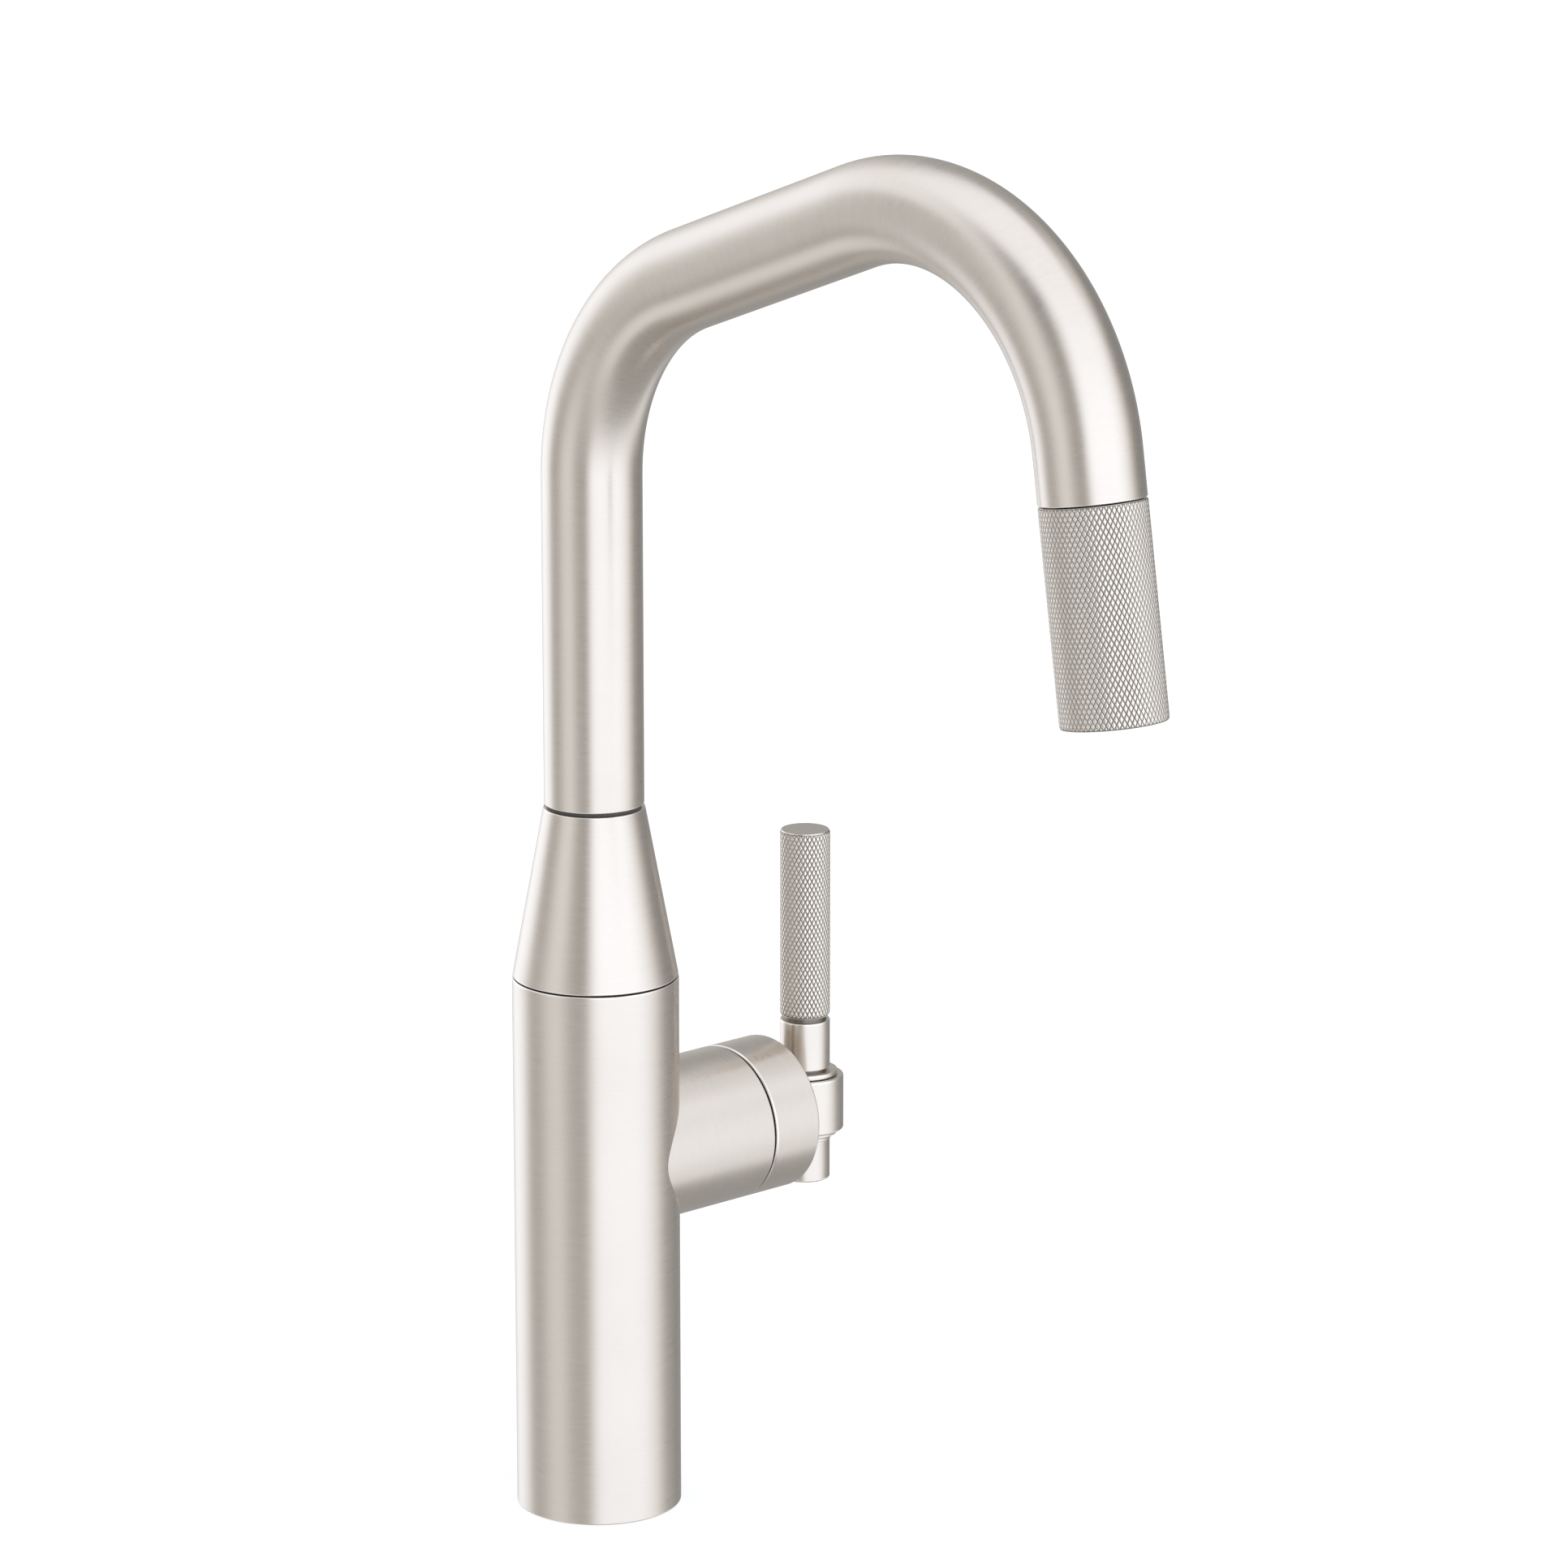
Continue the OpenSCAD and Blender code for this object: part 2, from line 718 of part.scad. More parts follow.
module aerator() {
    color("#d9d6cc") at_outlet(face_end - 1) difference() {
        cylinder(h = 12, r = aerator_r);
        translate([0, 0, -1]) cylinder(h = 3, r = aerator_r - 1);
        for (turn = [0:45:315]) {
            rotate([0, 0, turn]) translate([3.8, 0, 0]) cylinder(h = 14, r = 1);
        }
    }
}

module spray_face() {
    nozzle_r = (aerator_r + face_in_r) / 2;
    color("#4a4a4c") at_outlet(face_end - 0.8) difference() {
        union() {
            ring(face_in_r - seat_gap, aerator_r + seat_gap, 2.4);
            for (turn = [0:18:342]) {
                rotate([0, 0, turn]) translate([nozzle_r, 0, -0.6]) cylinder(h = 2, r = 0.9);
            }
        }
        for (turn = [0:18:342]) {
            rotate([0, 0, turn]) translate([nozzle_r, 0, -1]) cylinder(h = 4, r = 0.4);
        }
    }
}

// Cap and cartridge stem

module cap_drum() {
    color("#cfc7bf") difference() {
        along_arm(cap_y) bevelled(arm_r, cap_l, 0.8, 0.5);
        along_arm(cap_y - 1) cylinder(h = cap_l - cap_wall + 1, r = cap_bore_r);
        along_arm(neck_end - 0.2) cylinder(h = 1.7, r = cap_bore_r + 0.7);
        along_arm(cap_end - cap_wall - 1) {
            cylinder(h = cap_wall + 2, r = slot_r);
            translate([0, slot_drop, 0]) cylinder(h = cap_wall + 2, r = slot_r);
            translate([-slot_r, 0, 0]) cube([2 * slot_r, slot_drop, cap_wall + 2]);
        }
    }
}

module stem_guide() {
    color("#e8e6df") difference() {
        along_arm(guide_y) cylinder(h = guide_end - guide_y, r = guide_r);
        along_arm(guide_y - 1) translate([-3.3, -5.2, 0]) cube([6.6, 10.4, 14]);
        along_arm(pivot_y) rotate([0, 90, 0]) translate([0, 0, -15])
            cylinder(h = 30, r = 1.5 + seat_gap);
    }
}

module pivot_pin() {
    color("#8f9297") along_arm(pivot_y) rotate([0, 90, 0]) translate([0, 0, -9])
        cylinder(h = 18, r = 1.5);
}

module moving_disc() {
    color("#f3f1ea") difference() {
        along_arm(moving_y) cylinder(h = moving_t, r = moving_r);
        along_arm(moving_y - 1) translate([0, -1, 0]) cylinder(h = 3, r = 7.5);
    }
}

module disc_carrier() {
    color("#e8e6df") difference() {
        along_arm(carrier_y) cylinder(h = carrier_end - carrier_y, r = moving_r + 0.2);
        along_arm(stem_ball_y - 3.2) cylinder(h = 20, r = 3.1);
        along_arm(stem_ball_y + 0.8) cylinder(h = 20, r = 4.2);
    }
}

// Lever

module lever_stem() {
    color("#b9bcc0") difference() {
        union() {
            along_arm(stem_ball_y) sphere(r = 2.8);
            along_arm(stem_ball_y) cylinder(h = pivot_y + 7 - stem_ball_y, r = 2.4);
            along_arm(pivot_y - 3.4) cylinder(h = 6.8, r = 3.1);
            along_arm(pivot_y + 7) cylinder(h = lever_y - collar_r - pivot_y - 7, r = stem_r);
            along_arm(lever_y - collar_r - 1)
                cylinder(h = collar_r - rod_r + 1 - 2 * seat_gap, r = stem_thread_r);
        }
        along_arm(pivot_y) rotate([0, 90, 0]) translate([0, 0, -5])
            cylinder(h = 10, r = 1.5 + turn_gap);
    }
}

module lever_collar() {
    color("#cfc7bf") difference() {
        translate([0, lever_y, collar_z]) bevelled(collar_r, collar_h, 0.7, 0.7);
        translate([0, lever_y, collar_z - 1]) cylinder(h = collar_h + 2, r = rod_r + seat_gap);
        along_arm(lever_y - collar_r - 1) {
            cylinder(h = collar_r, r = stem_thread_r + seat_gap);
            cylinder(h = 1.9, r = stem_r + seat_gap);
        }
        along_arm(lever_y) cylinder(h = collar_r + 1, r = 2 + seat_gap);
    }
}

module collar_screw() {
    color("#8f9297") along_arm(lever_y + rod_r + 2 * seat_gap) difference() {
        bevelled(2, collar_r - rod_r - 0.5, 0.3, 0.3);
        translate([0, 0, 2.4]) cylinder(h = 4, r = 1, $fn = 6);
    }
}

module collar_upper_ring() {
    color("#cfc7bf") translate([0, lever_y, upper_ring_z]) difference() {
        bevelled(collar_r - 2, upper_ring_t, 0, 0.4);
        translate([0, 0, -1]) cylinder(h = upper_ring_t + 2, r = rod_r + seat_gap);
    }
}

module collar_lower_ring() {
    color("#cfc7bf") translate([0, lever_y, 0]) difference() {
        union() {
            translate([0, 0, lower_ring_z])
                bevelled(collar_r - 2, collar_z - lower_ring_z - seat_gap, 0.6, 0);
            translate([0, 0, foot_ring_z])
                bevelled(grip_r + 0.4, lower_ring_z - foot_ring_z + 0.6, 0.3, 0);
        }
        translate([0, 0, foot_ring_z - 1]) cylinder(h = 10, r = rod_r + seat_gap);
    }
}

module lever_rod() {
    color("#b9bcc0") translate([0, lever_y, 0]) {
        translate([0, 0, foot_z + 3]) cylinder(h = foot_ring_z - foot_z, r = rod_thin_r);
        translate([0, 0, foot_ring_z]) cylinder(h = grip_z + 3 - foot_ring_z, r = rod_r);
        translate([0, 0, grip_z]) cylinder(h = grip_l - 8, r = rod_thin_r);
    }
}

module lever_foot() {
    color("#cfc7bf") translate([0, lever_y, foot_z]) difference() {
        bevelled(grip_r, foot_ring_z - foot_z - seat_gap, 0.4, 0);
        translate([0, 0, 2.8]) cylinder(h = 40, r = rod_thin_r + seat_gap);
    }
}

module lever_ferrule() {
    color("#cfc7bf") translate([0, lever_y, ferrule_z]) difference() {
        bevelled(grip_r, ferrule_l, 0.4, 0.5);
        translate([0, 0, -1]) cylinder(h = ferrule_l + 2, r = rod_r + seat_gap);
    }
}

module lever_grip() {
    color("#cfc7bf") translate([0, lever_y, grip_z]) difference() {
        bevelled(grip_r, grip_l, 0.6, 0.5);
        translate([0, 0, -1]) cylinder(h = 4 + seat_gap, r = rod_r + seat_gap);
        translate([0, 0, 2]) cylinder(h = grip_l - 9, r = rod_thin_r + seat_gap);
    }
}

column_body();
base_gasket();
base_ring();
mounting_shank();
rubber_washer();
metal_washer();
mounting_nut();
nut_screws();
valve_body();
hot_supply_tube();
cold_supply_tube();
mixed_outlet_tube();
cartridge_seat();
cartridge_seals();
cartridge_base();
fixed_disc();
cartridge_housing();
cartridge_nut();
cap_bush();
cap_retaining_ring();
swivel_socket();
cone_shroud();
swivel_bushes();
thrust_washer();
glide_ring();
spout_retaining_screw();
spout_tube();
spout_spigot();
swivel_o_rings();
dock_collar();
dock_magnet();
spray_hose();
hose_end_nipple();
head_shell();
head_neck();
dock_plate();
hose_ferrule();
head_core();
check_valve();
flow_regulator();
core_o_ring();
face_housing();
aerator();
spray_face();
cap_drum();
stem_guide();
pivot_pin();
moving_disc();
disc_carrier();
lever_stem();
lever_collar();
collar_upper_ring();
collar_lower_ring();
lever_rod();
lever_foot();
lever_ferrule();
lever_grip();
collar_screw();
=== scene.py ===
# Pull down kitchen faucet in brushed nickel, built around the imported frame. Metres, +Z up, spout to +X.
import json
import math

import bmesh
import bpy
from mathutils import Matrix, Vector


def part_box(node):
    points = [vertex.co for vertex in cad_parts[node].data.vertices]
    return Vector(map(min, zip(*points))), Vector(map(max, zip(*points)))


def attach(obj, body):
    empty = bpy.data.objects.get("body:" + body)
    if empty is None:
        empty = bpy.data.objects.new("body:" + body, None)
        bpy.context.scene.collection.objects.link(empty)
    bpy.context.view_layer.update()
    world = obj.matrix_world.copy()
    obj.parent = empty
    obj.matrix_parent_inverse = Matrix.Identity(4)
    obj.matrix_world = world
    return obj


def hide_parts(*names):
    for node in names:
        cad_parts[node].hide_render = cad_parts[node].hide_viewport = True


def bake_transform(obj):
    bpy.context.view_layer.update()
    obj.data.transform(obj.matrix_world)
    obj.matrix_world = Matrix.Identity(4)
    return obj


mm = 0.001
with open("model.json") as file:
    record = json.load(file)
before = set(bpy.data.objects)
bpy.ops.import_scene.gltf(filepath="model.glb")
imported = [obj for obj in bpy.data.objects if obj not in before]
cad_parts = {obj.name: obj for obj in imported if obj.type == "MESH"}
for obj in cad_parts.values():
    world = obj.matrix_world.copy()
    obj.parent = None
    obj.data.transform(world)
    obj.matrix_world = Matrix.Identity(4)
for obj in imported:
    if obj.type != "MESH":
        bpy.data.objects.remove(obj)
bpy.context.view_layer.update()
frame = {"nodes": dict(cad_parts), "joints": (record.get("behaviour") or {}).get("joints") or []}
nodes = frame["nodes"]
joints = {joint["name"]: joint for joint in frame["joints"]}
print("frame loaded,", len(nodes), "nodes")


# places that the frame gives

def lowOf(node):
    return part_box(node)[0]


def highOf(node):
    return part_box(node)[1]


columnR = highOf("column_body").x
tubeR = -lowOf("spout_tube").x
armEnd = highOf("column_body").y
armR = highOf("cap_drum").x
armZ = joints["mixer_turn"]["pos_m"][2]
leverY = (lowOf("lever_grip").y + highOf("lever_grip").y) / 2
outletDir = Vector(joints["spray_pull"]["axis"]).normalized()

upright = Matrix.Identity(4)
alongArm = Matrix.Translation((0, 0, armZ)) @ Matrix.Rotation(-math.pi / 2, 4, "X")
atLever = Matrix.Translation((0, leverY, 0))


def newObject(name, data):
    thing = bpy.data.objects.new(name, data)
    bpy.context.scene.collection.objects.link(thing)
    return thing


# the camera and the studio

cameraSet = {
    "place": (1.4759, -1.2521, 0.7231),
    "looks": (-0.7199, 0.6502, -0.2429),
    "lens": 144.88,
    "sensor": 36.0,
}


def addCamera(size):
    data = bpy.data.cameras.new("camera")
    data.lens = size["lens"]
    data.sensor_width = size["sensor"]
    data.clip_start = 0.01
    data.clip_end = 100
    camera = newObject("camera", data)
    camera.location = size["place"]
    camera.rotation_mode = "QUATERNION"
    camera.rotation_quaternion = Vector(size["looks"]).to_track_quat("-Z", "Y")
    bpy.context.scene.camera = camera


addCamera(cameraSet)

# soft boxes round the room: degrees to the right of the camera, and how bright that side is
studio = {
    "sides": (
        (-180, 0.42), (-162, 0.80), (-144, 1.26), (-122, 1.20), (-111, 0.96), (-101, 0.58),
        (-90, 0.50), (-80, 0.60), (-66, 0.86), (-52, 0.92), (-44, 0.80), (-34, 0.56), (-20, 0.42),
        (-12, 0.48), (-5, 1.00), (4, 1.34), (60, 1.34), (76, 1.20), (90, 0.95),
        (102, 0.58), (114, 0.33), (140, 0.28), (180, 0.42),
    ),
    "ceiling": (
        (-180, 0.36), (-162, 0.60), (-140, 1.00), (-75, 1.05), (-60, 0.66), (-40, 0.30), (-28, 0.20),
        (-18, 0.24), (-8, 0.80), (10, 1.25), (90, 1.20), (112, 0.88), (135, 0.56), (160, 0.38), (180, 0.36),
    ),
    "floorNear": (
        (-180, 0.40), (-150, 0.50), (-40, 0.50), (-10, 0.80), (20, 1.00), (130, 0.97),
        (152, 0.50), (180, 0.40),
    ),
    "floorFar": (
        (-180, 0.38), (-155, 0.60), (-130, 0.88), (-40, 0.88), (-10, 0.66), (20, 0.42),
        (150, 0.38), (180, 0.38),
    ),
    "overhead": 1.12,
    "floorUnder": 0.38,
    "backdrop": 1.0,
    # heights on the unit sphere between which one ring of boxes fades into the next
    "ceilingFade": (0.34, 0.62),
    "overheadFade": (0.73, 0.87),
    "floorNearFade": (0.28, 0.60),
    "floorFarFade": (0.56, 0.74),
    "floorUnderFade": (0.82, 0.92),
    "mapSteps": 512,
}


def boxLight(level):
    # a bright soft box is a little cooler than the grey card between two of them
    cool = min(max((level - 0.80) / 0.5, 0), 1)
    return (level, level * (1 + 0.06 * cool), level * (1 + 0.17 * cool), 1)


def feed(tree, socket, value):
    if isinstance(value, (int, float, tuple)):
        socket.default_value = value
    elif value is not None:
        tree.links.new(value, socket)


def mathNode(tree, operation, first, second=None, clamp=False):
    node = tree.nodes.new("ShaderNodeMath")
    node.operation = operation
    node.use_clamp = clamp
    feed(tree, node.inputs[0], first)
    feed(tree, node.inputs[1], second)
    return node.outputs[0]


def splitNode(tree, vector):
    node = tree.nodes.new("ShaderNodeSeparateXYZ")
    tree.links.new(vector, node.inputs[0])
    return node.outputs


def combineNode(tree, *values):
    node = tree.nodes.new("ShaderNodeCombineXYZ")
    for socket, value in zip(node.inputs, values):
        tree.links.new(value, socket)
    return node.outputs[0]


def roundAxis(tree, radius, angle):
    # the two places across an axis
    return [mathNode(tree, "MULTIPLY", radius, mathNode(tree, turn, angle)) for turn in ("COSINE", "SINE")]


def triangleWave(tree, value):
    # rises from 0 to 1 and falls back once between two whole numbers
    wave = mathNode(tree, "MULTIPLY", mathNode(tree, "FRACT", value), 2)
    return mathNode(tree, "SUBTRACT", 1, mathNode(tree, "ABSOLUTE", mathNode(tree, "SUBTRACT", wave, 1)))


def rangeNode(tree, value, fromLow, fromHigh, toLow, toHigh, kind="LINEAR"):
    node = tree.nodes.new("ShaderNodeMapRange")
    node.interpolation_type = kind
    for socket, number in zip(node.inputs[1:5], (fromLow, fromHigh, toLow, toHigh)):
        socket.default_value = number
    tree.links.new(value, node.inputs["Value"])
    return node.outputs["Result"]


def smoothStep(tree, value, low, high):
    return rangeNode(tree, value, low, high, 0, 1, "SMOOTHSTEP")


def mixColour(tree, share, first, second):
    node = tree.nodes.new("ShaderNodeMix")
    node.data_type = "RGBA"
    feed(tree, node.inputs[0], share)
    feed(tree, node.inputs[6], first)
    feed(tree, node.inputs[7], second)
    return node.outputs[2]


def rampNode(tree, value, stops):
    node = tree.nodes.new("ShaderNodeValToRGB")
    ramp = node.color_ramp
    while len(ramp.elements) > 1:
        ramp.elements.remove(ramp.elements[-1])
    ramp.elements[0].position = stops[0][0]
    ramp.elements[0].color = stops[0][1]
    for place, colour in stops[1:]:
        ramp.elements.new(place).color = colour
    tree.links.new(value, node.inputs[0])
    return node.outputs[0]


def addStudio(size):
    world = bpy.data.worlds.new("studio")
    bpy.context.scene.world = world
    world.use_nodes = True
    tree = world.node_tree
    tree.nodes.clear()
    toCamera = Vector(cameraSet["looks"]) * -1
    turn = math.atan2(toCamera.y, toCamera.x)
    place = tree.nodes.new("ShaderNodeTexCoord")
    x, y, z = splitNode(tree, place.outputs["Generated"])
    ahead = mathNode(tree, "ADD", mathNode(tree, "MULTIPLY", x, math.cos(turn)),
                     mathNode(tree, "MULTIPLY", y, math.sin(turn)))
    aside = mathNode(tree, "SUBTRACT", mathNode(tree, "MULTIPLY", y, math.cos(turn)),
                     mathNode(tree, "MULTIPLY", x, math.sin(turn)))
    angle = mathNode(tree, "ARCTAN2", aside, ahead)
    share = mathNode(tree, "ADD", mathNode(tree, "DIVIDE", angle, 2 * math.pi), 0.5)

    def boxes(row):
        return rampNode(tree, share, [((a + 180) / 360, boxLight(level)) for a, level in row])

    low = mathNode(tree, "MULTIPLY", z, -1)
    lit = boxes(size["sides"])
    for height, fade, light in (
        (z, "ceilingFade", boxes(size["ceiling"])),
        (z, "overheadFade", boxLight(size["overhead"])),
        (low, "floorNearFade", boxes(size["floorNear"])),
        (low, "floorFarFade", boxes(size["floorFar"])),
        (low, "floorUnderFade", boxLight(size["floorUnder"])),
    ):
        lit = mixColour(tree, smoothStep(tree, height, *size[fade]), lit, light)
    rays = tree.nodes.new("ShaderNodeLightPath")
    seen = mixColour(tree, rays.outputs["Is Camera Ray"], lit, (size["backdrop"],) * 3 + (1,))
    shine = tree.nodes.new("ShaderNodeBackground")
    tree.links.new(seen, shine.inputs["Color"])
    out = tree.nodes.new("ShaderNodeOutputWorld")
    tree.links.new(shine.outputs[0], out.inputs["Surface"])
    world.cycles.sampling_method = "MANUAL"
    world.cycles.sample_map_resolution = size["mapSteps"]


def addFloor(size):
    mesh = bpy.data.meshes.new("floor")
    half, z = size["half"], -size["below"]
    corners = [(-half, -half, z), (half, -half, z), (half, half, z), (-half, half, z)]
    mesh.from_pydata(corners, [], [(0, 1, 2, 3)])
    floor = newObject("floor", mesh)
    material = bpy.data.materials.new("paleFloor")
    material.use_nodes = True
    tree = material.node_tree
    tree.nodes.clear()
    rays = tree.nodes.new("ShaderNodeLightPath")
    matt = tree.nodes.new("ShaderNodeBsdfDiffuse")
    matt.inputs["Color"].default_value = (size["grey"],) * 3 + (1,)
    shine = tree.nodes.new("ShaderNodeEmission")
    glow = mathNode(tree, "MULTIPLY", rays.outputs["Is Camera Ray"], size["glow"])
    tree.links.new(glow, shine.inputs["Strength"])
    both = tree.nodes.new("ShaderNodeAddShader")
    out = tree.nodes.new("ShaderNodeOutputMaterial")
    tree.links.new(matt.outputs[0], both.inputs[0])
    tree.links.new(shine.outputs[0], both.inputs[1])
    tree.links.new(both.outputs[0], out.inputs["Surface"])
    mesh.materials.append(material)
    floor.visible_glossy = False  # the metal mirrors the soft boxes, not the floor


paleFloor = {"half": 9.0, "below": 0.2 * mm, "glow": 0.62, "grey": 0.5}
addStudio(studio)
addFloor(paleFloor)
bpy.context.scene.view_settings.view_transform = "Standard"
print("camera and studio set")


# finishes

def newFinish(name, colour, metallic, roughness):
    material = bpy.data.materials.new(name)
    material.use_nodes = True
    tree = material.node_tree
    shader = tree.nodes["Principled BSDF"]
    shader.inputs["Base Color"].default_value = colour + (1,)
    shader.inputs["Metallic"].default_value = metallic
    shader.inputs["Roughness"].default_value = roughness
    return material, tree, shader


def noiseNode(tree, vector, scale, detail):
    node = tree.nodes.new("ShaderNodeTexNoise")
    node.inputs["Scale"].default_value = scale
    node.inputs["Detail"].default_value = detail
    tree.links.new(vector, node.inputs["Vector"])
    return node.outputs[0]


def bumpNode(tree, height, strength, distance):
    node = tree.nodes.new("ShaderNodeBump")
    node.inputs["Strength"].default_value = strength
    node.inputs["Distance"].default_value = distance
    tree.links.new(height, node.inputs["Height"])
    return node.outputs["Normal"]


def attributeNode(tree, name):
    node = tree.nodes.new("ShaderNodeAttribute")
    node.attribute_name = name
    return node.outputs["Fac"]


def objectPlace(tree, scale=(1, 1, 1)):
    place = tree.nodes.new("ShaderNodeTexCoord")
    turn = tree.nodes.new("ShaderNodeMapping")
    turn.inputs["Scale"].default_value = scale
    tree.links.new(place.outputs["Object"], turn.inputs["Vector"])
    return turn.outputs[0]


nickel = {
    "colour": (0.80, 0.735, 0.662),
    "dull": (0.75, 0.685, 0.615),
    "edge": (0.93, 0.885, 0.83),
    # painted shade in the cuts between the knurl's diamonds
    "paintedCutShade": (0.20, 0.18, 0.158),
    "roughness": 0.30,
    "brushing": 0.62,  # how far the shine spreads across the brush marks
    "marksAcross": 3600,  # how fine the marks are across the brushing, and how short along it
    "marksAlong": 5.0,
}


def brushedNickel(name, size):
    # the map called grain holds the way along the profile, in metres, and the share of a turn round it
    material, tree, shader = newFinish(name, size["colour"], 1.0, size["roughness"])
    grain = tree.nodes.new("ShaderNodeUVMap")
    grain.uv_map = "grain"
    way, share, _ = splitNode(tree, grain.outputs[0])
    turn = mathNode(tree, "MULTIPLY", share, 2 * math.pi)
    fine, length = size["marksAcross"], size["marksAlong"]

    def marks(across, along, detail):
        place = combineNode(tree, mathNode(tree, "MULTIPLY", way, across), *roundAxis(tree, along, turn))
        return noiseNode(tree, place, 1.0, detail)

    hairline = marks(fine, length, 3.0)
    stroke = marks(fine / 5, length / 3, 2.0)
    patch = noiseNode(tree, objectPlace(tree), 38.0, 3.0)
    both = mathNode(tree, "ADD", mathNode(tree, "MULTIPLY", hairline, 0.62),
                    mathNode(tree, "MULTIPLY", stroke, 0.38))
    worn = attributeNode(tree, "worn")
    brushed = rangeNode(tree, both, 0.30, 0.70, 1, 0)
    colour = mixColour(tree, brushed, size["colour"] + (1,), size["dull"] + (1,))
    colour = mixColour(tree, mathNode(tree, "MULTIPLY", worn, 0.7), colour, size["edge"] + (1,))
    tree.links.new(colour, shader.inputs["Base Color"])
    low, high = size["roughness"] - 0.05, size["roughness"] + 0.05
    rough = mathNode(tree, "ADD", rangeNode(tree, both, 0.25, 0.75, low, high),
                     rangeNode(tree, patch, 0.3, 0.7, -0.02, 0.02))
    rough = mathNode(tree, "SUBTRACT", rough, mathNode(tree, "MULTIPLY", worn, 0.06))
    tree.links.new(rough, shader.inputs["Roughness"])
    shader.inputs["Anisotropic"].default_value = size["brushing"]
    tangent = tree.nodes.new("ShaderNodeTangent")
    tangent.direction_type = "UV_MAP"
    tangent.uv_map = "grain"
    tree.links.new(tangent.outputs[0], shader.inputs["Tangent"])
    tree.links.new(bumpNode(tree, both, 0.05, 0.00004), shader.inputs["Normal"])
    return material


def knurledNickel(name, size):
    # crest is 1 on top of a diamond and 0 in the cut between two
    material, tree, shader = newFinish(name, size["colour"], 1.0, size["roughness"])
    crest = attributeNode(tree, "crest")
    spots = noiseNode(tree, objectPlace(tree), 900.0, 2.0)
    # the cuts between diamonds are painted dark, as painted shade
    flank = smoothStep(tree, crest, 0.0, 0.34)
    colour = mixColour(tree, flank, size["paintedCutShade"] + (1,), size["colour"] + (1,))
    colour = mixColour(tree, smoothStep(tree, crest, 0.45, 1.0), colour, size["edge"] + (1,))
    colour = mixColour(tree, rangeNode(tree, spots, 0.35, 0.7, 0.25, 0), colour, size["dull"] + (1,))
    tree.links.new(colour, shader.inputs["Base Color"])
    rough = rangeNode(tree, crest, 0.0, 1.0, size["roughness"] + 0.06, size["roughness"] - 0.13)
    tree.links.new(rough, shader.inputs["Roughness"])
    tree.links.new(bumpNode(tree, spots, 0.15, 0.00003), shader.inputs["Normal"])
    return material


def patinate(finish, marks, cloud, other, rough, depth):
    # the marks change the gloss and the surface, and the cloud blends in the other colour
    material, tree, shader = finish
    colour = shader.inputs["Base Color"]
    tree.links.new(mixColour(tree, cloud, tuple(colour.default_value), other + (1,)), colour)
    tree.links.new(rangeNode(tree, marks, 0.3, 0.7, *rough), shader.inputs["Roughness"])
    tree.links.new(bumpNode(tree, marks, 0.12, depth), shader.inputs["Normal"])
    return material


def turnedMetal(name, colour, roughness, stretch, spread=0.08):
    # lathe marks across one axis, with stretch as the noise's scale on X, Y and Z
    finish = newFinish(name, colour, 1.0, roughness)
    tree = finish[1]
    marks = noiseNode(tree, objectPlace(tree, stretch), 1.0, 3.0)
    cloud = rangeNode(tree, noiseNode(tree, objectPlace(tree), 60.0, 4.0), 0.35, 0.7, 0, 0.8)
    dull = tuple(value * 0.80 for value in colour)
    return patinate(finish, marks, cloud, dull, (roughness - spread, roughness + spread), 0.05 * mm)


def mouldedPlastic(name, colour, roughness, grain=1400.0):
    finish = newFinish(name, colour, 0.0, roughness)
    tree = finish[1]
    fine = noiseNode(tree, objectPlace(tree), grain, 3.0)
    cloud = rangeNode(tree, noiseNode(tree, objectPlace(tree), 45.0, 3.0), 0.3, 0.7, 0, 0.5)
    pale = tuple(min(1.0, value * 1.25 + 0.01) for value in colour)
    return patinate(finish, fine, cloud, pale, (roughness - 0.06, roughness + 0.08), 0.04 * mm)


def braidedHose(name, pitch=2.6 * mm, around=12):
    # crossing strands, worked out along and round the outlet's axis
    material, tree, shader = newFinish(name, (0.20, 0.20, 0.21), 0.15, 0.45)
    place = tree.nodes.new("ShaderNodeTexCoord")
    turn = tree.nodes.new("ShaderNodeMapping")
    tilt = math.atan2(outletDir.x, -outletDir.z)
    turn.inputs["Rotation"].default_value = (0, tilt, 0)
    seam = Matrix.Rotation(tilt, 4, "Y") @ outletSeam
    turn.inputs["Location"].default_value = (-seam.x, -seam.y, -seam.z)
    tree.links.new(place.outputs["Object"], turn.inputs["Vector"])
    x, y, z = splitNode(tree, turn.outputs[0])
    rise = mathNode(tree, "DIVIDE", z, pitch)
    angle = mathNode(tree, "MULTIPLY", mathNode(tree, "ARCTAN2", y, x), around / (2 * math.pi))
    weave = mathNode(tree, "MULTIPLY", triangleWave(tree, mathNode(tree, "ADD", rise, angle)),
                     triangleWave(tree, mathNode(tree, "SUBTRACT", rise, angle)))
    colour = mixColour(tree, weave, (0.05, 0.05, 0.055, 1), (0.42, 0.42, 0.43, 1))
    tree.links.new(colour, shader.inputs["Base Color"])
    tree.links.new(rangeNode(tree, weave, 0, 1, 0.6, 0.34), shader.inputs["Roughness"])
    tree.links.new(bumpNode(tree, weave, 0.7, 0.0004), shader.inputs["Normal"])
    return material


# meshes

def newPiece(name, mesh, body, replaced, materials):
    piece = newObject(name, mesh)
    if not mesh.materials:
        for material in materials:
            mesh.materials.append(material)
    if body:
        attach(piece, body)
    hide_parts(*replaced)
    return piece


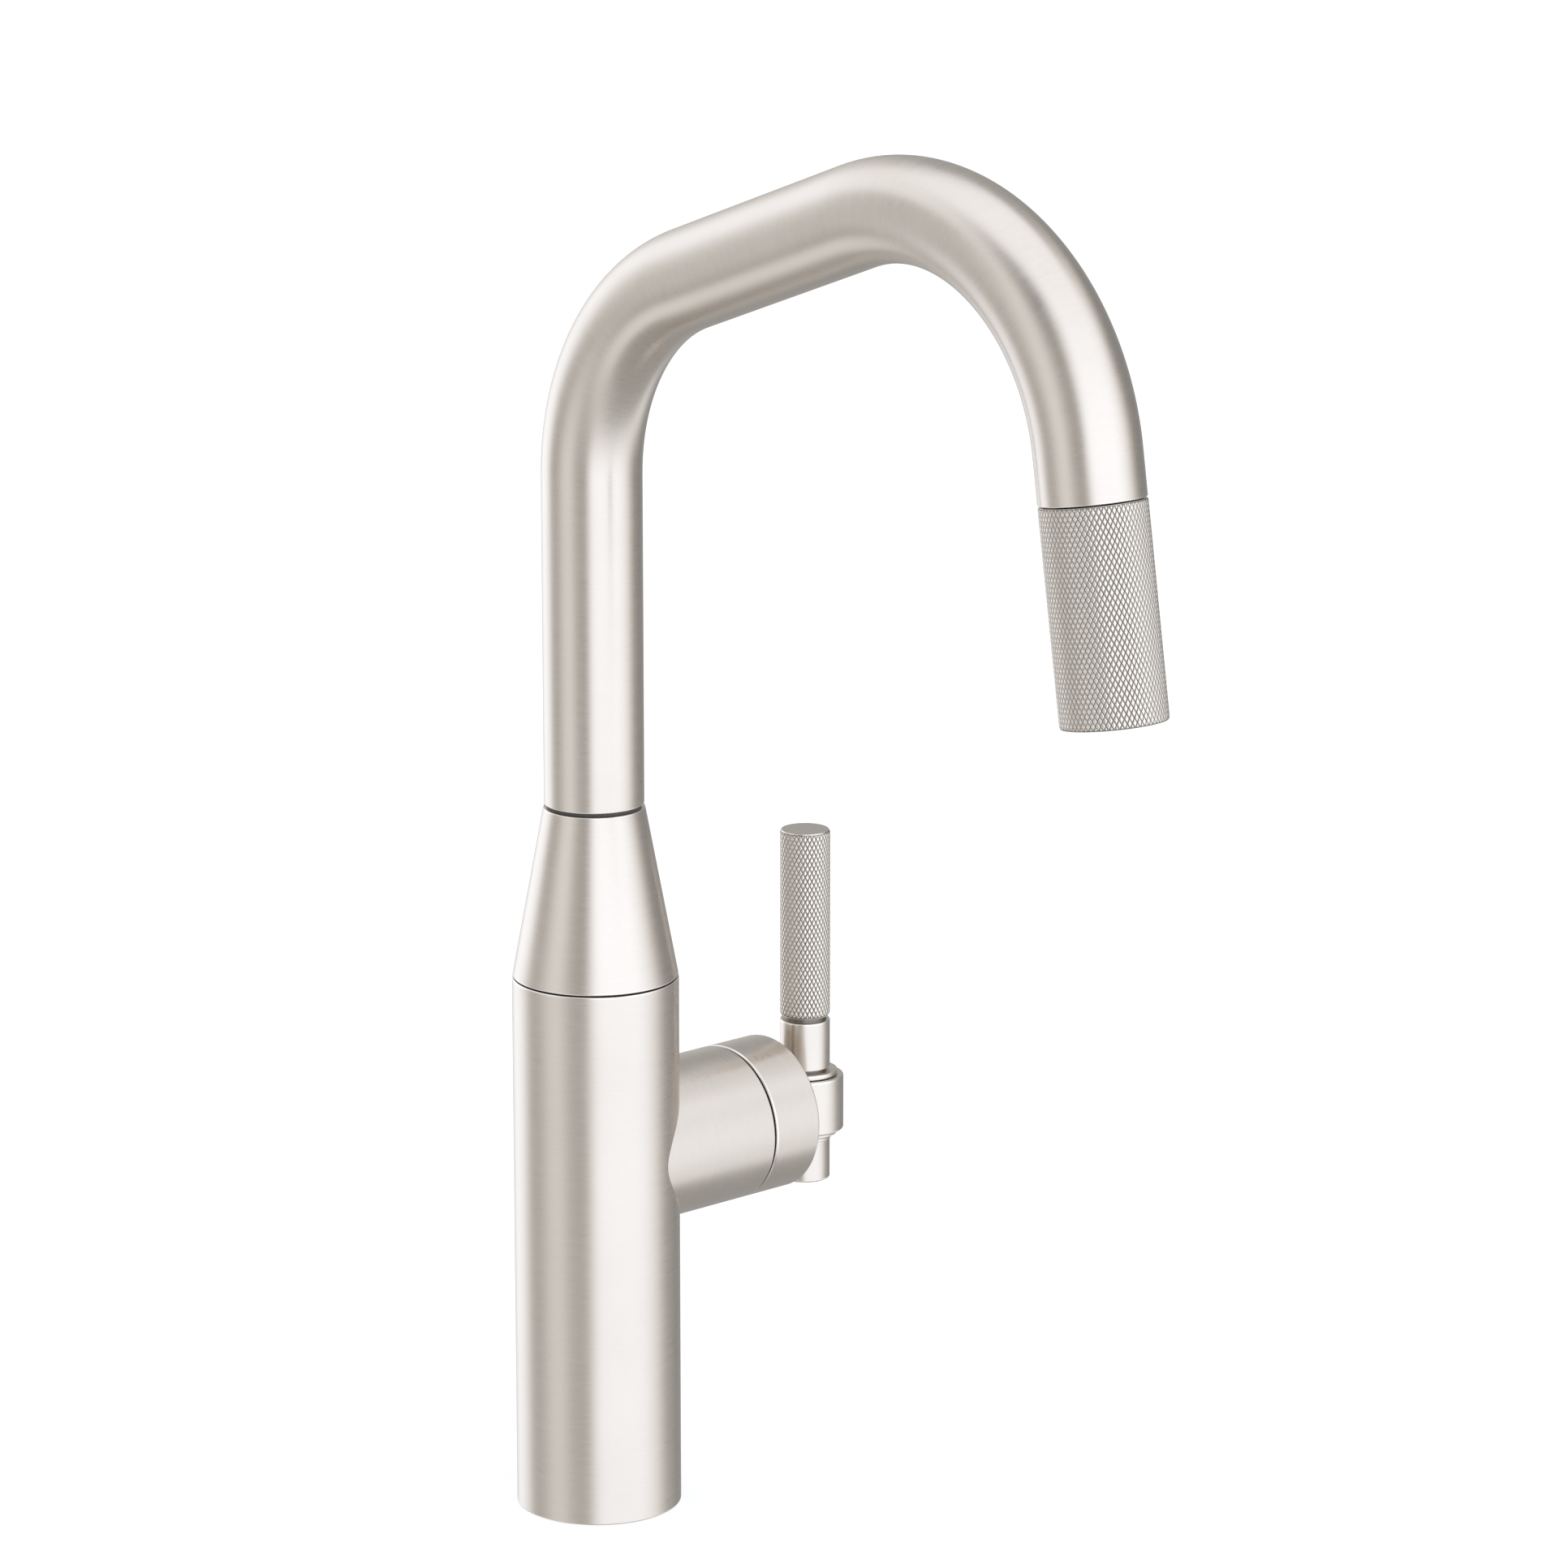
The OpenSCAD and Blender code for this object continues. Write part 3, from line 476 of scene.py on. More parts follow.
def rounded(corners, steps=4, hold=0.12 * mm):
    # corners are (radius, height, fillet); gives (radius, height, worn) with each fillet as a short curve
    out = []
    for k, (r, z, fillet) in enumerate(corners):
        here = Vector((r, z))
        if not fillet or k in (0, len(corners) - 1):
            out.append((r, z, 0))
            continue
        before = Vector(corners[k - 1][:2]) - here
        after = Vector(corners[k + 1][:2]) - here
        half = before.angle(after) / 2
        reach = min(fillet / math.tan(half), before.length * 0.45, after.length * 0.45)
        start = here + before.normalized() * reach
        end = here + after.normalized() * reach
        lead = start + before.normalized() * min(hold, before.length - reach) * 0.9
        trail = end + after.normalized() * min(hold, after.length - reach) * 0.9
        out.append((lead.x, lead.y, 0))
        for step in range(steps + 1):
            t = step / steps
            point = start * (1 - t) ** 2 + here * 2 * t * (1 - t) + end * t * t
            out.append((point.x, point.y, 1))
        out.append((trail.x, trail.y, 0))
    return out


def loft(name, rings, around, closed=False):
    # rings are (centre, sideways, upwards, radius, worn); a ring of no radius closes the skin with a fan
    points, firsts, worn, way = [], [], [], [0.0]
    for k, (centre, across, up, radius, edge) in enumerate(rings):
        firsts.append(len(points))
        count = around if radius > 1e-7 else 1
        for j in range(count):
            angle = 2 * math.pi * j / around
            points.append(centre + (across * math.cos(angle) + up * math.sin(angle)) * radius)
        worn += [edge] * count
        if k:
            last = rings[k - 1]
            way.append(way[-1] + math.hypot((centre - last[0]).length, radius - last[3]))
    faces, spots = [], []
    pairs = list(zip(range(len(rings) - 1), range(1, len(rings))))
    if closed:
        pairs.append((len(rings) - 1, 0))
    for a, b in pairs:
        wayB = way[b]
        if b == 0:  # the last strip runs back to the first ring
            wayB = way[a] + math.hypot((rings[0][0] - rings[a][0]).length, rings[0][3] - rings[a][3])
        poleA = rings[a][3] <= 1e-7
        poleB = rings[b][3] <= 1e-7
        for j in range(around):
            n = (j + 1) % around
            v, w = j / around, (j + 1) / around
            if poleA:
                faces.append((firsts[a], firsts[b] + j, firsts[b] + n))
                spots += [(way[a], v), (wayB, v), (wayB, w)]
            elif poleB:
                faces.append((firsts[a] + j, firsts[b], firsts[a] + n))
                spots += [(way[a], v), (wayB, v), (way[a], w)]
            else:
                faces.append((firsts[a] + j, firsts[b] + j, firsts[b] + n, firsts[a] + n))
                spots += [(way[a], v), (wayB, v), (wayB, w), (way[a], w)]
    mesh = bpy.data.meshes.new(name)
    mesh.from_pydata([tuple(point) for point in points], [], faces)
    grain = mesh.uv_layers.new(name="grain")
    grain.data.foreach_set("uv", [value for spot in spots for value in spot])
    mesh.attributes.new("worn", "FLOAT", "POINT").data.foreach_set("value", [float(value) for value in worn])
    return mesh


def smoothFaces(mesh, sharp=32.0):
    mesh.shade_smooth()
    mesh.set_sharp_from_angle(angle=math.radians(sharp))


def finishMesh(mesh, sharp=32.0, weld=0.0):
    work = bmesh.new()
    work.from_mesh(mesh)
    if weld:
        bmesh.ops.remove_doubles(work, verts=work.verts, dist=weld)
    bmesh.ops.recalc_face_normals(work, faces=work.faces)
    work.to_mesh(mesh)
    work.free()
    smoothFaces(mesh, sharp)
    return mesh


def latheMesh(name, profile, place, around, closed):
    # profile is (radius, height, worn) round the Z axis of place
    across = place.to_3x3() @ Vector((1, 0, 0))
    up = place.to_3x3() @ Vector((0, 1, 0))
    rings = [(place @ Vector((0, 0, z)), across, up, r, edge) for r, z, edge in profile]
    return loft(name, rings, around, closed)


def plugOutline(radius, low, high):
    return [(0, low, 0), (radius, low, 0), (radius, high, 0), (0, high, 0)]


def turnedMesh(name, corners, place, around):
    # corners that start on the axis make a solid, others a ring
    return finishMesh(latheMesh(name, rounded(corners), place, around, corners[0][0] > 1e-7))


def turnedPiece(name, corners, place, body, replaced, material, around=144):
    newPiece(name, turnedMesh(name, corners, place, around), body, replaced, [material])


def resultOf(thing):
    bpy.context.view_layer.update()
    return bpy.data.meshes.new_from_object(thing.evaluated_get(bpy.context.evaluated_depsgraph_get()))


def cutMesh(mesh, cutters, operation="DIFFERENCE"):
    # joins or cuts closed meshes with the exact solver, which keeps the maps but loses the worn edges
    base = newObject("work", mesh)
    helpers = []
    for cutter in cutters:
        helper = newObject("cutter", cutter)
        helpers.append(helper)
        step = base.modifiers.new("cut", "BOOLEAN")
        step.operation = operation
        step.solver = "EXACT"
        step.object = helper
    result = resultOf(base)
    for helper in helpers + [base]:
        bpy.data.objects.remove(helper)
    return result


def roundNormals(mesh, barrels, slack=0.02 * mm):
    # sets true cylinder normals on faces that lie on one of the barrels, each (place, radius)
    smoothFaces(mesh)
    normals = [Vector(corner.vector) for corner in mesh.corner_normals]
    for place, radius in barrels:
        back = place.inverted()
        for face in mesh.polygons:
            centre = back @ face.center
            flat = back.to_3x3() @ face.normal
            if abs(flat.z) > 0.01 or abs(math.hypot(centre.x, centre.y) - radius) > slack + radius * 0.002:
                continue
            for corner in face.loop_indices:
                point = back @ mesh.vertices[mesh.loops[corner].vertex_index].co
                outward = Vector((point.x, point.y, 0)).normalized()
                if outward.dot(flat) < 0:
                    outward = -outward
                normals[corner] = place.to_3x3() @ outward
    mesh.normals_split_custom_set([tuple(normal) for normal in normals])


def markWorn(mesh, edges):
    # marks the worn edges again after a cut; each is (place, height, radius, fillet)
    marks = [0.0] * len(mesh.vertices)
    for place, height, radius, fillet in edges:
        back = place.inverted()
        for vertex in mesh.vertices:
            point = back @ vertex.co
            aside = abs(math.hypot(point.x, point.y) - radius)
            if abs(point.z - height) < fillet * 0.97 and aside < fillet * 1.03:
                marks[vertex.index] = 1.0
    mesh.attributes["worn"].data.foreach_set("value", marks)


def paintSeamShade(mesh, direction, at, reach=0.05 * mm):
    # paints the end faces inside a seam dark, as painted shade for the shade inside the gap; at is their
    # place along the direction
    mesh.materials.append(finishes["seam"])
    for face in mesh.polygons:
        if face.normal.dot(direction) > 0.98 and abs(face.center.dot(direction) - at) < reach:
            face.material_index = len(mesh.materials) - 1


def newTree(name, **sockets):
    # sockets give the names of the inputs of each kind
    tree = bpy.data.node_groups.new(name, "GeometryNodeTree")
    tree.interface.new_socket("Geometry", in_out="OUTPUT", socket_type="NodeSocketGeometry")
    for kind, names in sockets.items():
        for socket in names:
            tree.interface.new_socket(socket, in_out="INPUT", socket_type="NodeSocket" + kind)
    return tree, tree.nodes.new("NodeGroupInput").outputs


def endTree(tree, geometry, material):
    whole = tree.nodes.new("GeometryNodeRealizeInstances")
    tree.links.new(geometry, whole.inputs[0])
    paint = tree.nodes.new("GeometryNodeSetMaterial")
    paint.inputs["Material"].default_value = material
    tree.links.new(whole.outputs[0], paint.inputs["Geometry"])
    out = tree.nodes.new("NodeGroupOutput")
    tree.links.new(paint.outputs[0], out.inputs[0])
    return tree


# the pattern that the knurls and threads are cut with

def cutPattern(material):
    numbers = ("Radius", "Depth", "Start", "Length", "Around", "Rows", "Crossed", "Crown", "Run Out")
    tree, size = newTree("cutPattern", Float=numbers, Int=("Steps Around", "Steps Along"))
    grid = tree.nodes.new("GeometryNodeMeshGrid")
    tree.links.new(mathNode(tree, "ADD", size["Steps Around"], 1), grid.inputs["Vertices X"])
    tree.links.new(mathNode(tree, "ADD", size["Steps Along"], 1), grid.inputs["Vertices Y"])
    place = tree.nodes.new("GeometryNodeInputPosition")
    x, y, _ = splitNode(tree, place.outputs[0])
    turn = mathNode(tree, "ADD", x, 0.5)
    rise = mathNode(tree, "ADD", y, 0.5)
    row = mathNode(tree, "MULTIPLY", rise, size["Rows"])
    spoke = mathNode(tree, "MULTIPLY", turn, size["Around"])
    tooth = triangleWave(tree, mathNode(tree, "ADD", row, spoke))
    # the crossing cut; a plain thread leaves it out
    other = mathNode(tree, "MAXIMUM", triangleWave(tree, mathNode(tree, "SUBTRACT", row, spoke)),
                     mathNode(tree, "SUBTRACT", 1, size["Crossed"]))
    crest = mathNode(tree, "MINIMUM", tooth, other)
    nearEnd = mathNode(tree, "MINIMUM", rise, mathNode(tree, "SUBTRACT", 1, rise))
    fromEnd = mathNode(tree, "MULTIPLY", nearEnd, size["Rows"])
    fade = mathNode(tree, "DIVIDE", fromEnd, size["Run Out"], clamp=True)
    crest = mathNode(tree, "MULTIPLY", crest, fade)
    root = mathNode(tree, "SUBTRACT", size["Radius"], size["Depth"])
    hollow = mathNode(tree, "POWER", mathNode(tree, "SUBTRACT", 1, crest), size["Crown"])
    radius = mathNode(tree, "ADD", root, mathNode(tree, "MULTIPLY", size["Depth"],
                                                  mathNode(tree, "SUBTRACT", 1, hollow)))
    angle = mathNode(tree, "MULTIPLY", turn, 2 * math.pi)
    height = mathNode(tree, "ADD", size["Start"], mathNode(tree, "MULTIPLY", rise, size["Length"]))
    wrapped = combineNode(tree, *roundAxis(tree, radius, angle), height)
    store = tree.nodes.new("GeometryNodeStoreNamedAttribute")
    store.inputs["Name"].default_value = "crest"
    tree.links.new(grid.outputs["Mesh"], store.inputs["Geometry"])
    tree.links.new(crest, store.inputs["Value"])
    wrap = tree.nodes.new("GeometryNodeSetPosition")
    tree.links.new(store.outputs[0], wrap.inputs["Geometry"])
    tree.links.new(wrapped, wrap.inputs["Position"])
    weld = tree.nodes.new("GeometryNodeMergeByDistance")
    weld.inputs["Distance"].default_value = 0.002 * mm
    tree.links.new(wrap.outputs[0], weld.inputs["Geometry"])
    split = tree.nodes.new("GeometryNodeTriangulate")
    tree.links.new(weld.outputs[0], split.inputs[0])
    return endTree(tree, split.outputs[0], material)


def runTree(tree, inputs):
    # gives the tree's result as a plain mesh; inputs are set by the sockets' identifiers
    holder = newObject("holder", bpy.data.meshes.new("holder"))
    step = holder.modifiers.new("nodes", "NODES")
    step.node_group = tree
    sockets = {item.name: item for item in tree.interface.items_tree if item.in_out == "INPUT"}
    for name, value in inputs.items():
        step[sockets[name].identifier] = value
    mesh = resultOf(holder)
    holder.modifiers.clear()
    bpy.data.objects.remove(holder)
    return mesh


def joinMeshes(name, meshes, weld=0.003 * mm):
    parts = [newObject(name, mesh) for mesh in meshes]
    with bpy.context.temp_override(active_object=parts[0], object=parts[0], selected_objects=parts,
                                   selected_editable_objects=parts):
        bpy.ops.object.join()
    mesh = parts[0].data
    bpy.data.objects.remove(parts[0])
    return finishMesh(mesh, 44, weld)


finishes = {}
finishes["turned"] = brushedNickel("nickelTurned", nickel)
finishes["knurled"] = knurledNickel("nickelKnurled", nickel)
# a faced end is turned flat and shines back the same way all over
finishes["faced"] = brushedNickel("nickelFaced", dict(nickel, roughness=0.22, brushing=0.10))
# painted shade: a dark nickel that stands for the shade inside the seams
finishes["seam"] = turnedMetal("nickelPaintedSeamShade", (0.10, 0.09, 0.08), 0.55, (60, 60, 3000))
# painted shade: the rod shows only in the grooves, and its nickel is painted dark for the shade there
finishes["paintedRodShade"] = brushedNickel("nickelPaintedRodShade", dict(nickel, colour=(0.27, 0.243, 0.215),
                                                    dull=(0.20, 0.18, 0.16), roughness=0.36))


# the column and its arm

column = {
    "wall": 2.4 * mm,
    "armWall": 2.3 * mm,
    "armRoot": 4 * mm,
    "footFillet": 0.3 * mm,
    "topFillet": 0.7 * mm,
    "armFillet": 0.4 * mm,
    "sides": 256,
    "armSides": 224,
    "boreSides": 128,
}


def makeColumn(size):
    top = highOf("column_body").z
    root = size["armRoot"]
    boreR = columnR - size["wall"]
    armBoreR = armR - size["armWall"]
    outline = rounded([(0, 0, 0), (columnR, 0, size["footFillet"]), (columnR, top, size["topFillet"]),
                       (0, top, 0)])
    outer = latheMesh("column", outline, upright, size["sides"], False)
    outline = rounded([(0, root, 0), (armR, root, 0), (armR, armEnd, size["armFillet"]), (0, armEnd, 0)])
    arm = latheMesh("arm", outline, alongArm, size["armSides"], False)
    outline = plugOutline(boreR, -mm, top + mm)
    bore = latheMesh("bore", outline, upright, size["boreSides"], False)
    outline = plugOutline(armBoreR, 0, armEnd + mm)
    armBore = latheMesh("armBore", outline, alongArm, size["boreSides"], False)
    for mesh in (outer, arm, bore, armBore):
        finishMesh(mesh)
    mesh = cutMesh(cutMesh(outer, [arm], "UNION"), [bore, armBore])
    roundNormals(mesh, [(upright, columnR), (alongArm, armR)])
    markWorn(mesh, [(upright, 0, columnR, size["footFillet"]), (upright, top, columnR, size["topFillet"]),
                    (alongArm, armEnd, armR, size["armFillet"])])
    mesh.materials.clear()
    mesh.materials.append(finishes["turned"])
    # painted shade: the column's top face, seen through the seam under the cone, is painted dark
    paintSeamShade(mesh, Vector((0, 0, 1)), top)
    newPiece("columnShell", mesh, "base", ["column_body"], [])


makeColumn(column)

cone = {
    "foot": 0.5 * mm,  # fillets
    "top": 0.35 * mm,
    "inset": 0.12 * mm,  # how far the foot lies inside the column
    "flare": 0.2 * mm,  # how far the top lies outside the spout tube
    "footWall": 2.5 * mm,
    "slopeWall": 3.2 * mm,
    "topWall": 1.1 * mm,
    "neck": 1.7 * mm,
    "neckH": 5.6 * mm,
    "footH": 3.8 * mm,
    "sides": 224,
}


def makeCone(size):
    low, high = lowOf("cone_shroud").z, highOf("cone_shroud").z
    topR = tubeR + size["flare"]
    boreR = columnR - size["footWall"]
    neckR = tubeR - size["neck"]
    neckZ = high - size["neckH"]
    footZ = low + size["footH"]
    corners = [
        (boreR, low, 0), (columnR - size["inset"], low, size["foot"]), (topR, high, size["top"]),
        (neckR, high, 0), (neckR, neckZ, 0), (topR - size["topWall"], neckZ, 0),
        (columnR - size["slopeWall"], footZ, 0), (boreR, footZ, 0),
    ]
    turnedPiece("coneShell", corners, upright, "base", ["cone_shroud"],
                finishes["turned"], size["sides"])


makeCone(cone)
print("column, arm and cone made")


# the spout

spout = {
    "wall": 1.5 * mm,
    "polish": 0.07 * mm,  # what the brushing takes off the tube
    "riser": 105.7 * mm,
    "firstBend": 72 * mm,
    "rise": math.radians(20.3),
    "topRun": 80.3 * mm,
    "secondBend": 72.5 * mm,
    "tilt": math.radians(8.9),
    "outlet": 14 * mm,
    "lip": 0.35 * mm,
    "sides": 160,
}


def spoutLine(size, start):
    # points and directions down the middle of the tube, as (centre, direction)
    line = []
    bendZ = lowOf("spout_tube").z + size["riser"]

    def straight(origin, direction, length, count):
        for k in range(count):
            line.append((origin + direction * length * k / count, direction.copy()))

    def outward(angle):
        return Vector((math.cos(angle), 0, math.sin(angle)))

    def onward(angle):
        return Vector((math.sin(angle), 0, -math.cos(angle)))

    def bend(centre, radius, fromAngle, toAngle, count):
        for k in range(count):
            angle = fromAngle + (toAngle - fromAngle) * k / count
            line.append((centre + outward(angle) * radius, onward(angle)))

    rise, tilt = size["rise"], size["tilt"]
    straight(Vector((0, 0, start)), Vector((0, 0, 1)), bendZ - start, 12)
    firstCentre = Vector((size["firstBend"], 0, bendZ))
    bend(firstCentre, size["firstBend"], math.pi, math.pi / 2 + rise, 44)
    runStart = firstCentre - size["firstBend"] * onward(rise)
    straight(runStart, outward(rise), size["topRun"], 10)
    secondCentre = runStart + outward(rise) * size["topRun"] + size["secondBend"] * onward(rise)
    bend(secondCentre, size["secondBend"], math.pi / 2 + rise, tilt, 60)
    outletTop = secondCentre + size["secondBend"] * outward(tilt)
    straight(outletTop, outletDir, size["outlet"], 4)
    line.append((outletTop + outletDir * size["outlet"], outletDir.copy()))
    return line


def ringsAlong(line, radius):
    side = Vector((0, 1, 0))
    return [(centre, side, side.cross(direction), radius, 0) for centre, direction in line]


def insetEnds(rings, fillet, steps=4, hold=1.6):
    # rounds the rim at both ends of a tube's outside; the straight wall starts hold fillets in
    def rim(ring, inward):
        centre, across, up, radius, _ = ring
        out = []
        for step in range(steps + 1):
            angle = math.pi / 2 * step / steps
            out.append((centre + inward * fillet * (1 - math.sin(angle)), across, up,
                        radius - fillet * (1 - math.cos(angle)), 1))
        return out

    first = (rings[1][0] - rings[0][0]).normalized()
    last = (rings[-2][0] - rings[-1][0]).normalized()
    start = rim(rings[0], first)[::-1]
    holdStart = (rings[0][0] + first * fillet * hold,) + rings[0][1:]
    holdEnd = (rings[-1][0] + last * fillet * hold,) + rings[-1][1:]
    return start + [holdStart] + rings[1:-1] + [holdEnd] + rim(rings[-1], last)


def makeSpout(size):
    line = spoutLine(size, lowOf("spout_tube").z)
    outside = insetEnds(ringsAlong(line, tubeR - size["polish"]), size["lip"])
    inside = ringsAlong(line, tubeR - size["wall"])[::-1]
    mesh = finishMesh(loft("spoutTube", outside + inside, size["sides"], True))
    newPiece("spoutShell", mesh, "spout", ["spout_tube"], [finishes["turned"]])
    return line[-1][0]


outletSeam = makeSpout(spout)
atOutlet = Matrix.Translation(outletSeam) @ Matrix.Rotation(-spout["tilt"], 4, "Y")
finishes["braid"] = braidedHose("hoseBraid")

hose = {
    "radius": 5 * mm,
    "ferruleTop": 13.99 * mm,
    "lead": 11 * mm,  # the stretch that draws out
    "lap": 0.3 * mm,
    "runSteps": 150,
    "leadSteps": 96,
    "sides": 40,
}


def makeHose(size, route):
    # the long part rests in the spout; the last stretch draws out with the head
    line = spoutLine(route, lowOf("spray_hose").z)
    total = 0.0
    ways = [0.0]
    for k in range(1, len(line)):
        total += (line[k][0] - line[k - 1][0]).length
        ways.append(total)

    def at(way):
        for k in range(1, len(line)):
            if ways[k] >= way:
                share = (way - ways[k - 1]) / (ways[k] - ways[k - 1])
                centre = line[k - 1][0].lerp(line[k][0], share)
                return centre, line[k - 1][1].lerp(line[k][1], share).normalized()
        return line[-1]

    def tube(name, low, high, count, body, replaced):
        part = [at(low + (high - low) * k / count) for k in range(count + 1)]
        rings = ringsAlong(part, size["radius"])
        first = (rings[0][0],) + rings[0][1:3] + (0.0, 0)
        last = (rings[-1][0],) + rings[-1][1:3] + (0.0, 0)
        mesh = finishMesh(loft(name, [first] + rings + [last], size["sides"]))
        return newPiece(name, mesh, body, replaced, [finishes["braid"]])

    end = total - size["ferruleTop"]
    start = end - size["lead"]
    tube("hoseRun", 0, start, size["runSteps"], "spout", ["spray_hose"])
    hoseLead = tube("hoseLead", start - size["lap"], end, size["leadSteps"], None, ["spray_hose"])
    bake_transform(hoseLead)


makeHose(hose, spout)
print("spout and hose made")


# the spray head

head = {
    "length": 64.6 * mm,
    "gap": 0.4 * mm,
    "wall": 1.8 * mm,
    "knurlDepth": 0.28 * mm,
    "knurlsAround": 64,
    "knurlRows": 22,
    "chamfer": 0.12 * mm,
    "rim": 0.10 * mm,
    "lip": 0.10 * mm,
}
knurlTree = cutPattern(finishes["knurled"])
knurlSteps = 6  # mesh steps across one diamond


def knurlBand(radius, start, length, size):
    around, rows = size["knurlsAround"], size["knurlRows"]
    return runTree(knurlTree, {
        "Radius": radius, "Depth": size["knurlDepth"], "Start": start, "Length": length,
        "Around": float(around), "Rows": float(rows), "Crossed": 1.0, "Crown": 4.5, "Run Out": 0.12,
        "Steps Around": around * knurlSteps, "Steps Along": rows * knurlSteps})


def makeHeadShell(size):
    length = size["length"] - size["gap"]
    place = atOutlet @ Matrix.Translation((0, 0, -size["length"]))
    root = tubeR - size["knurlDepth"]
    innerR = tubeR - size["wall"]
    low, high = size["chamfer"], length - size["chamfer"]
    band = knurlBand(tubeR, low, high - low, size)
    band.transform(place)
    lipR = root - size["rim"]
    lip = size["lip"]
    profile = rounded([(root, low, 0), (lipR, 0, lip), (innerR, 0, lip), (innerR, length, lip),
                       (lipR, length, lip), (root, high, 0)])
    liner = latheMesh("liner", profile, place, size["knurlsAround"] * knurlSteps, False)
    liner.materials.append(finishes["turned"])
    mesh = joinMeshes("headShell", [band, liner])
    newPiece("headShell", mesh, "spray_head", ["head_shell"], [])


makeHeadShell(head)

grip = {
    "knurlDepth": 0.27 * mm,
    "knurlsAround": 34,
    "knurlRows": 22,
    "chamfer": 0.35 * mm,
    "rim": 0.2 * mm,
    "lip": 0.1 * mm,
    "boreR": 7.02 * mm,
    "boreH": 4 * mm,
}


def makeGrip(size):
    low, high = lowOf("lever_grip").z, highOf("lever_grip").z
    outer = highOf("lever_grip").y - leverY
    root = outer - size["knurlDepth"]
    chamfer = size["chamfer"]
    band = knurlBand(outer, low + chamfer, high - low - 2 * chamfer, size)
    band.transform(atLever)
    lipR = root - size["rim"]
    boreR, boreZ = size["boreR"], low + size["boreH"]
    steps = size["knurlsAround"] * knurlSteps
    corners = [(0, high, 0), (lipR, high, size["lip"]), (root, high - chamfer, 0)]
    cap = latheMesh("gripTop", rounded(corners), atLever, steps, False)
    corners = [(root, low + chamfer, 0), (lipR, low, size["lip"]), (boreR, low, 0), (boreR, boreZ, 0),
               (0, boreZ, 0)]
    foot = latheMesh("gripFoot", rounded(corners), atLever, steps, False)
    cap.materials.append(finishes["faced"])
    foot.materials.append(finishes["turned"])
    mesh = joinMeshes("leverGrip", [band, cap, foot])
    newPiece("leverGrip", mesh, "lever", ["lever_grip"], [])


makeGrip(grip)
print("knurled head and grip made")


# the cap, the collar and the lever's rings

cap = {
    "wall": 3 * mm,
    "sideWall": 2.65 * mm,
    "slotR": 4.35 * mm,
    "slotDrop": 5.4 * mm,
    "backFillet": 0.8 * mm,
    "frontFillet": 0.55 * mm,
    "sides": 224,
    "slotSides": 48,
}


def makeCap(size):
    low, high = lowOf("cap_drum").y, highOf("cap_drum").y
    wall, slotDrop = size["wall"], size["slotDrop"]
    boreR = armR - size["sideWall"]
    corners = [
        (boreR, low, 0), (armR, low, size["backFillet"]), (armR, high, size["frontFillet"]), (0, high, 0),
        (0, high - wall, 0), (boreR, high - wall, 0),
    ]
    drum = turnedMesh("cap", corners, alongArm, size["sides"])
    slot = []
    outline = plugOutline(size["slotR"], high - wall - mm, high + mm)
    for drop in (0, slotDrop):
        place = alongArm @ Matrix.Translation((0, drop, 0))
        slot.append(turnedMesh("slot", outline, place, size["slotSides"]))
    web = bpy.data.meshes.new("web")
    block = bmesh.new()
    bmesh.ops.create_cube(block, size=1)
    middle = alongArm @ Matrix.Translation((0, slotDrop / 2, high - wall / 2))
    width = 2 * size["slotR"] * 0.9999  # a hair under the round ends, so that no two cutters share a face
    scale = Matrix.Diagonal((width, slotDrop, wall + 2 * mm, 1))
    bmesh.ops.transform(block, matrix=middle @ scale, verts=block.verts)
    bmesh.ops.recalc_face_normals(block, faces=block.faces)
    block.to_mesh(web)
    block.free()
    mesh = cutMesh(drum, slot + [web])
    roundNormals(mesh, [(alongArm, armR)])
    markWorn(mesh, [(alongArm, low, armR, size["backFillet"]), (alongArm, high, armR, size["frontFillet"])])
    mesh.materials.clear()
    mesh.materials.append(finishes["turned"])
    # painted shade: the cap's end face inside the seam against the arm is painted dark
    paintSeamShade(mesh, Vector((0, -1, 0)), -low)
    newPiece("capShell", mesh, "cap", ["cap_drum"], [])


makeCap(cap)


def leverPiece(name, node, corners, finish="turned", around=112):
    turnedPiece(name, corners, atLever, "lever", [node], finishes[finish], around)


collar = {
    "boreR": 7.02 * mm,
    "fillet": 0.75 * mm,
    "stemR": 4.02 * mm,
    "stemH": 4.6 * mm,
    "screwR": 2.02 * mm,
    "screwH": 7 * mm,
    "sides": 160,
    "stemSides": 64,
    "screwSides": 48,
}


def makeCollar(size):
    low, high = lowOf("lever_collar").z, highOf("lever_collar").z
    outer = highOf("lever_collar").x
    boreR, fillet = size["boreR"], size["fillet"]
    corners = [(boreR, low, 0), (outer, low, fillet), (outer, high, fillet), (boreR, high, 0)]
    body = turnedMesh("collar", corners, atLever, size["sides"])
    near, far = leverY - outer, leverY + outer
    outline = plugOutline(size["stemR"], near - mm, near + size["stemH"])
    stem = turnedMesh("stemHole", outline, alongArm, size["stemSides"])
    outline = plugOutline(size["screwR"], far - size["screwH"], far + mm)
    screw = turnedMesh("screwHole", outline, alongArm, size["screwSides"])
    mesh = cutMesh(body, [stem, screw])
    roundNormals(mesh, [(atLever, outer)])
    markWorn(mesh, [(atLever, low, outer, fillet), (atLever, high, outer, fillet)])
    newPiece("leverCollar", mesh, "lever", ["lever_collar"], [finishes["turned"]])


makeCollar(collar)

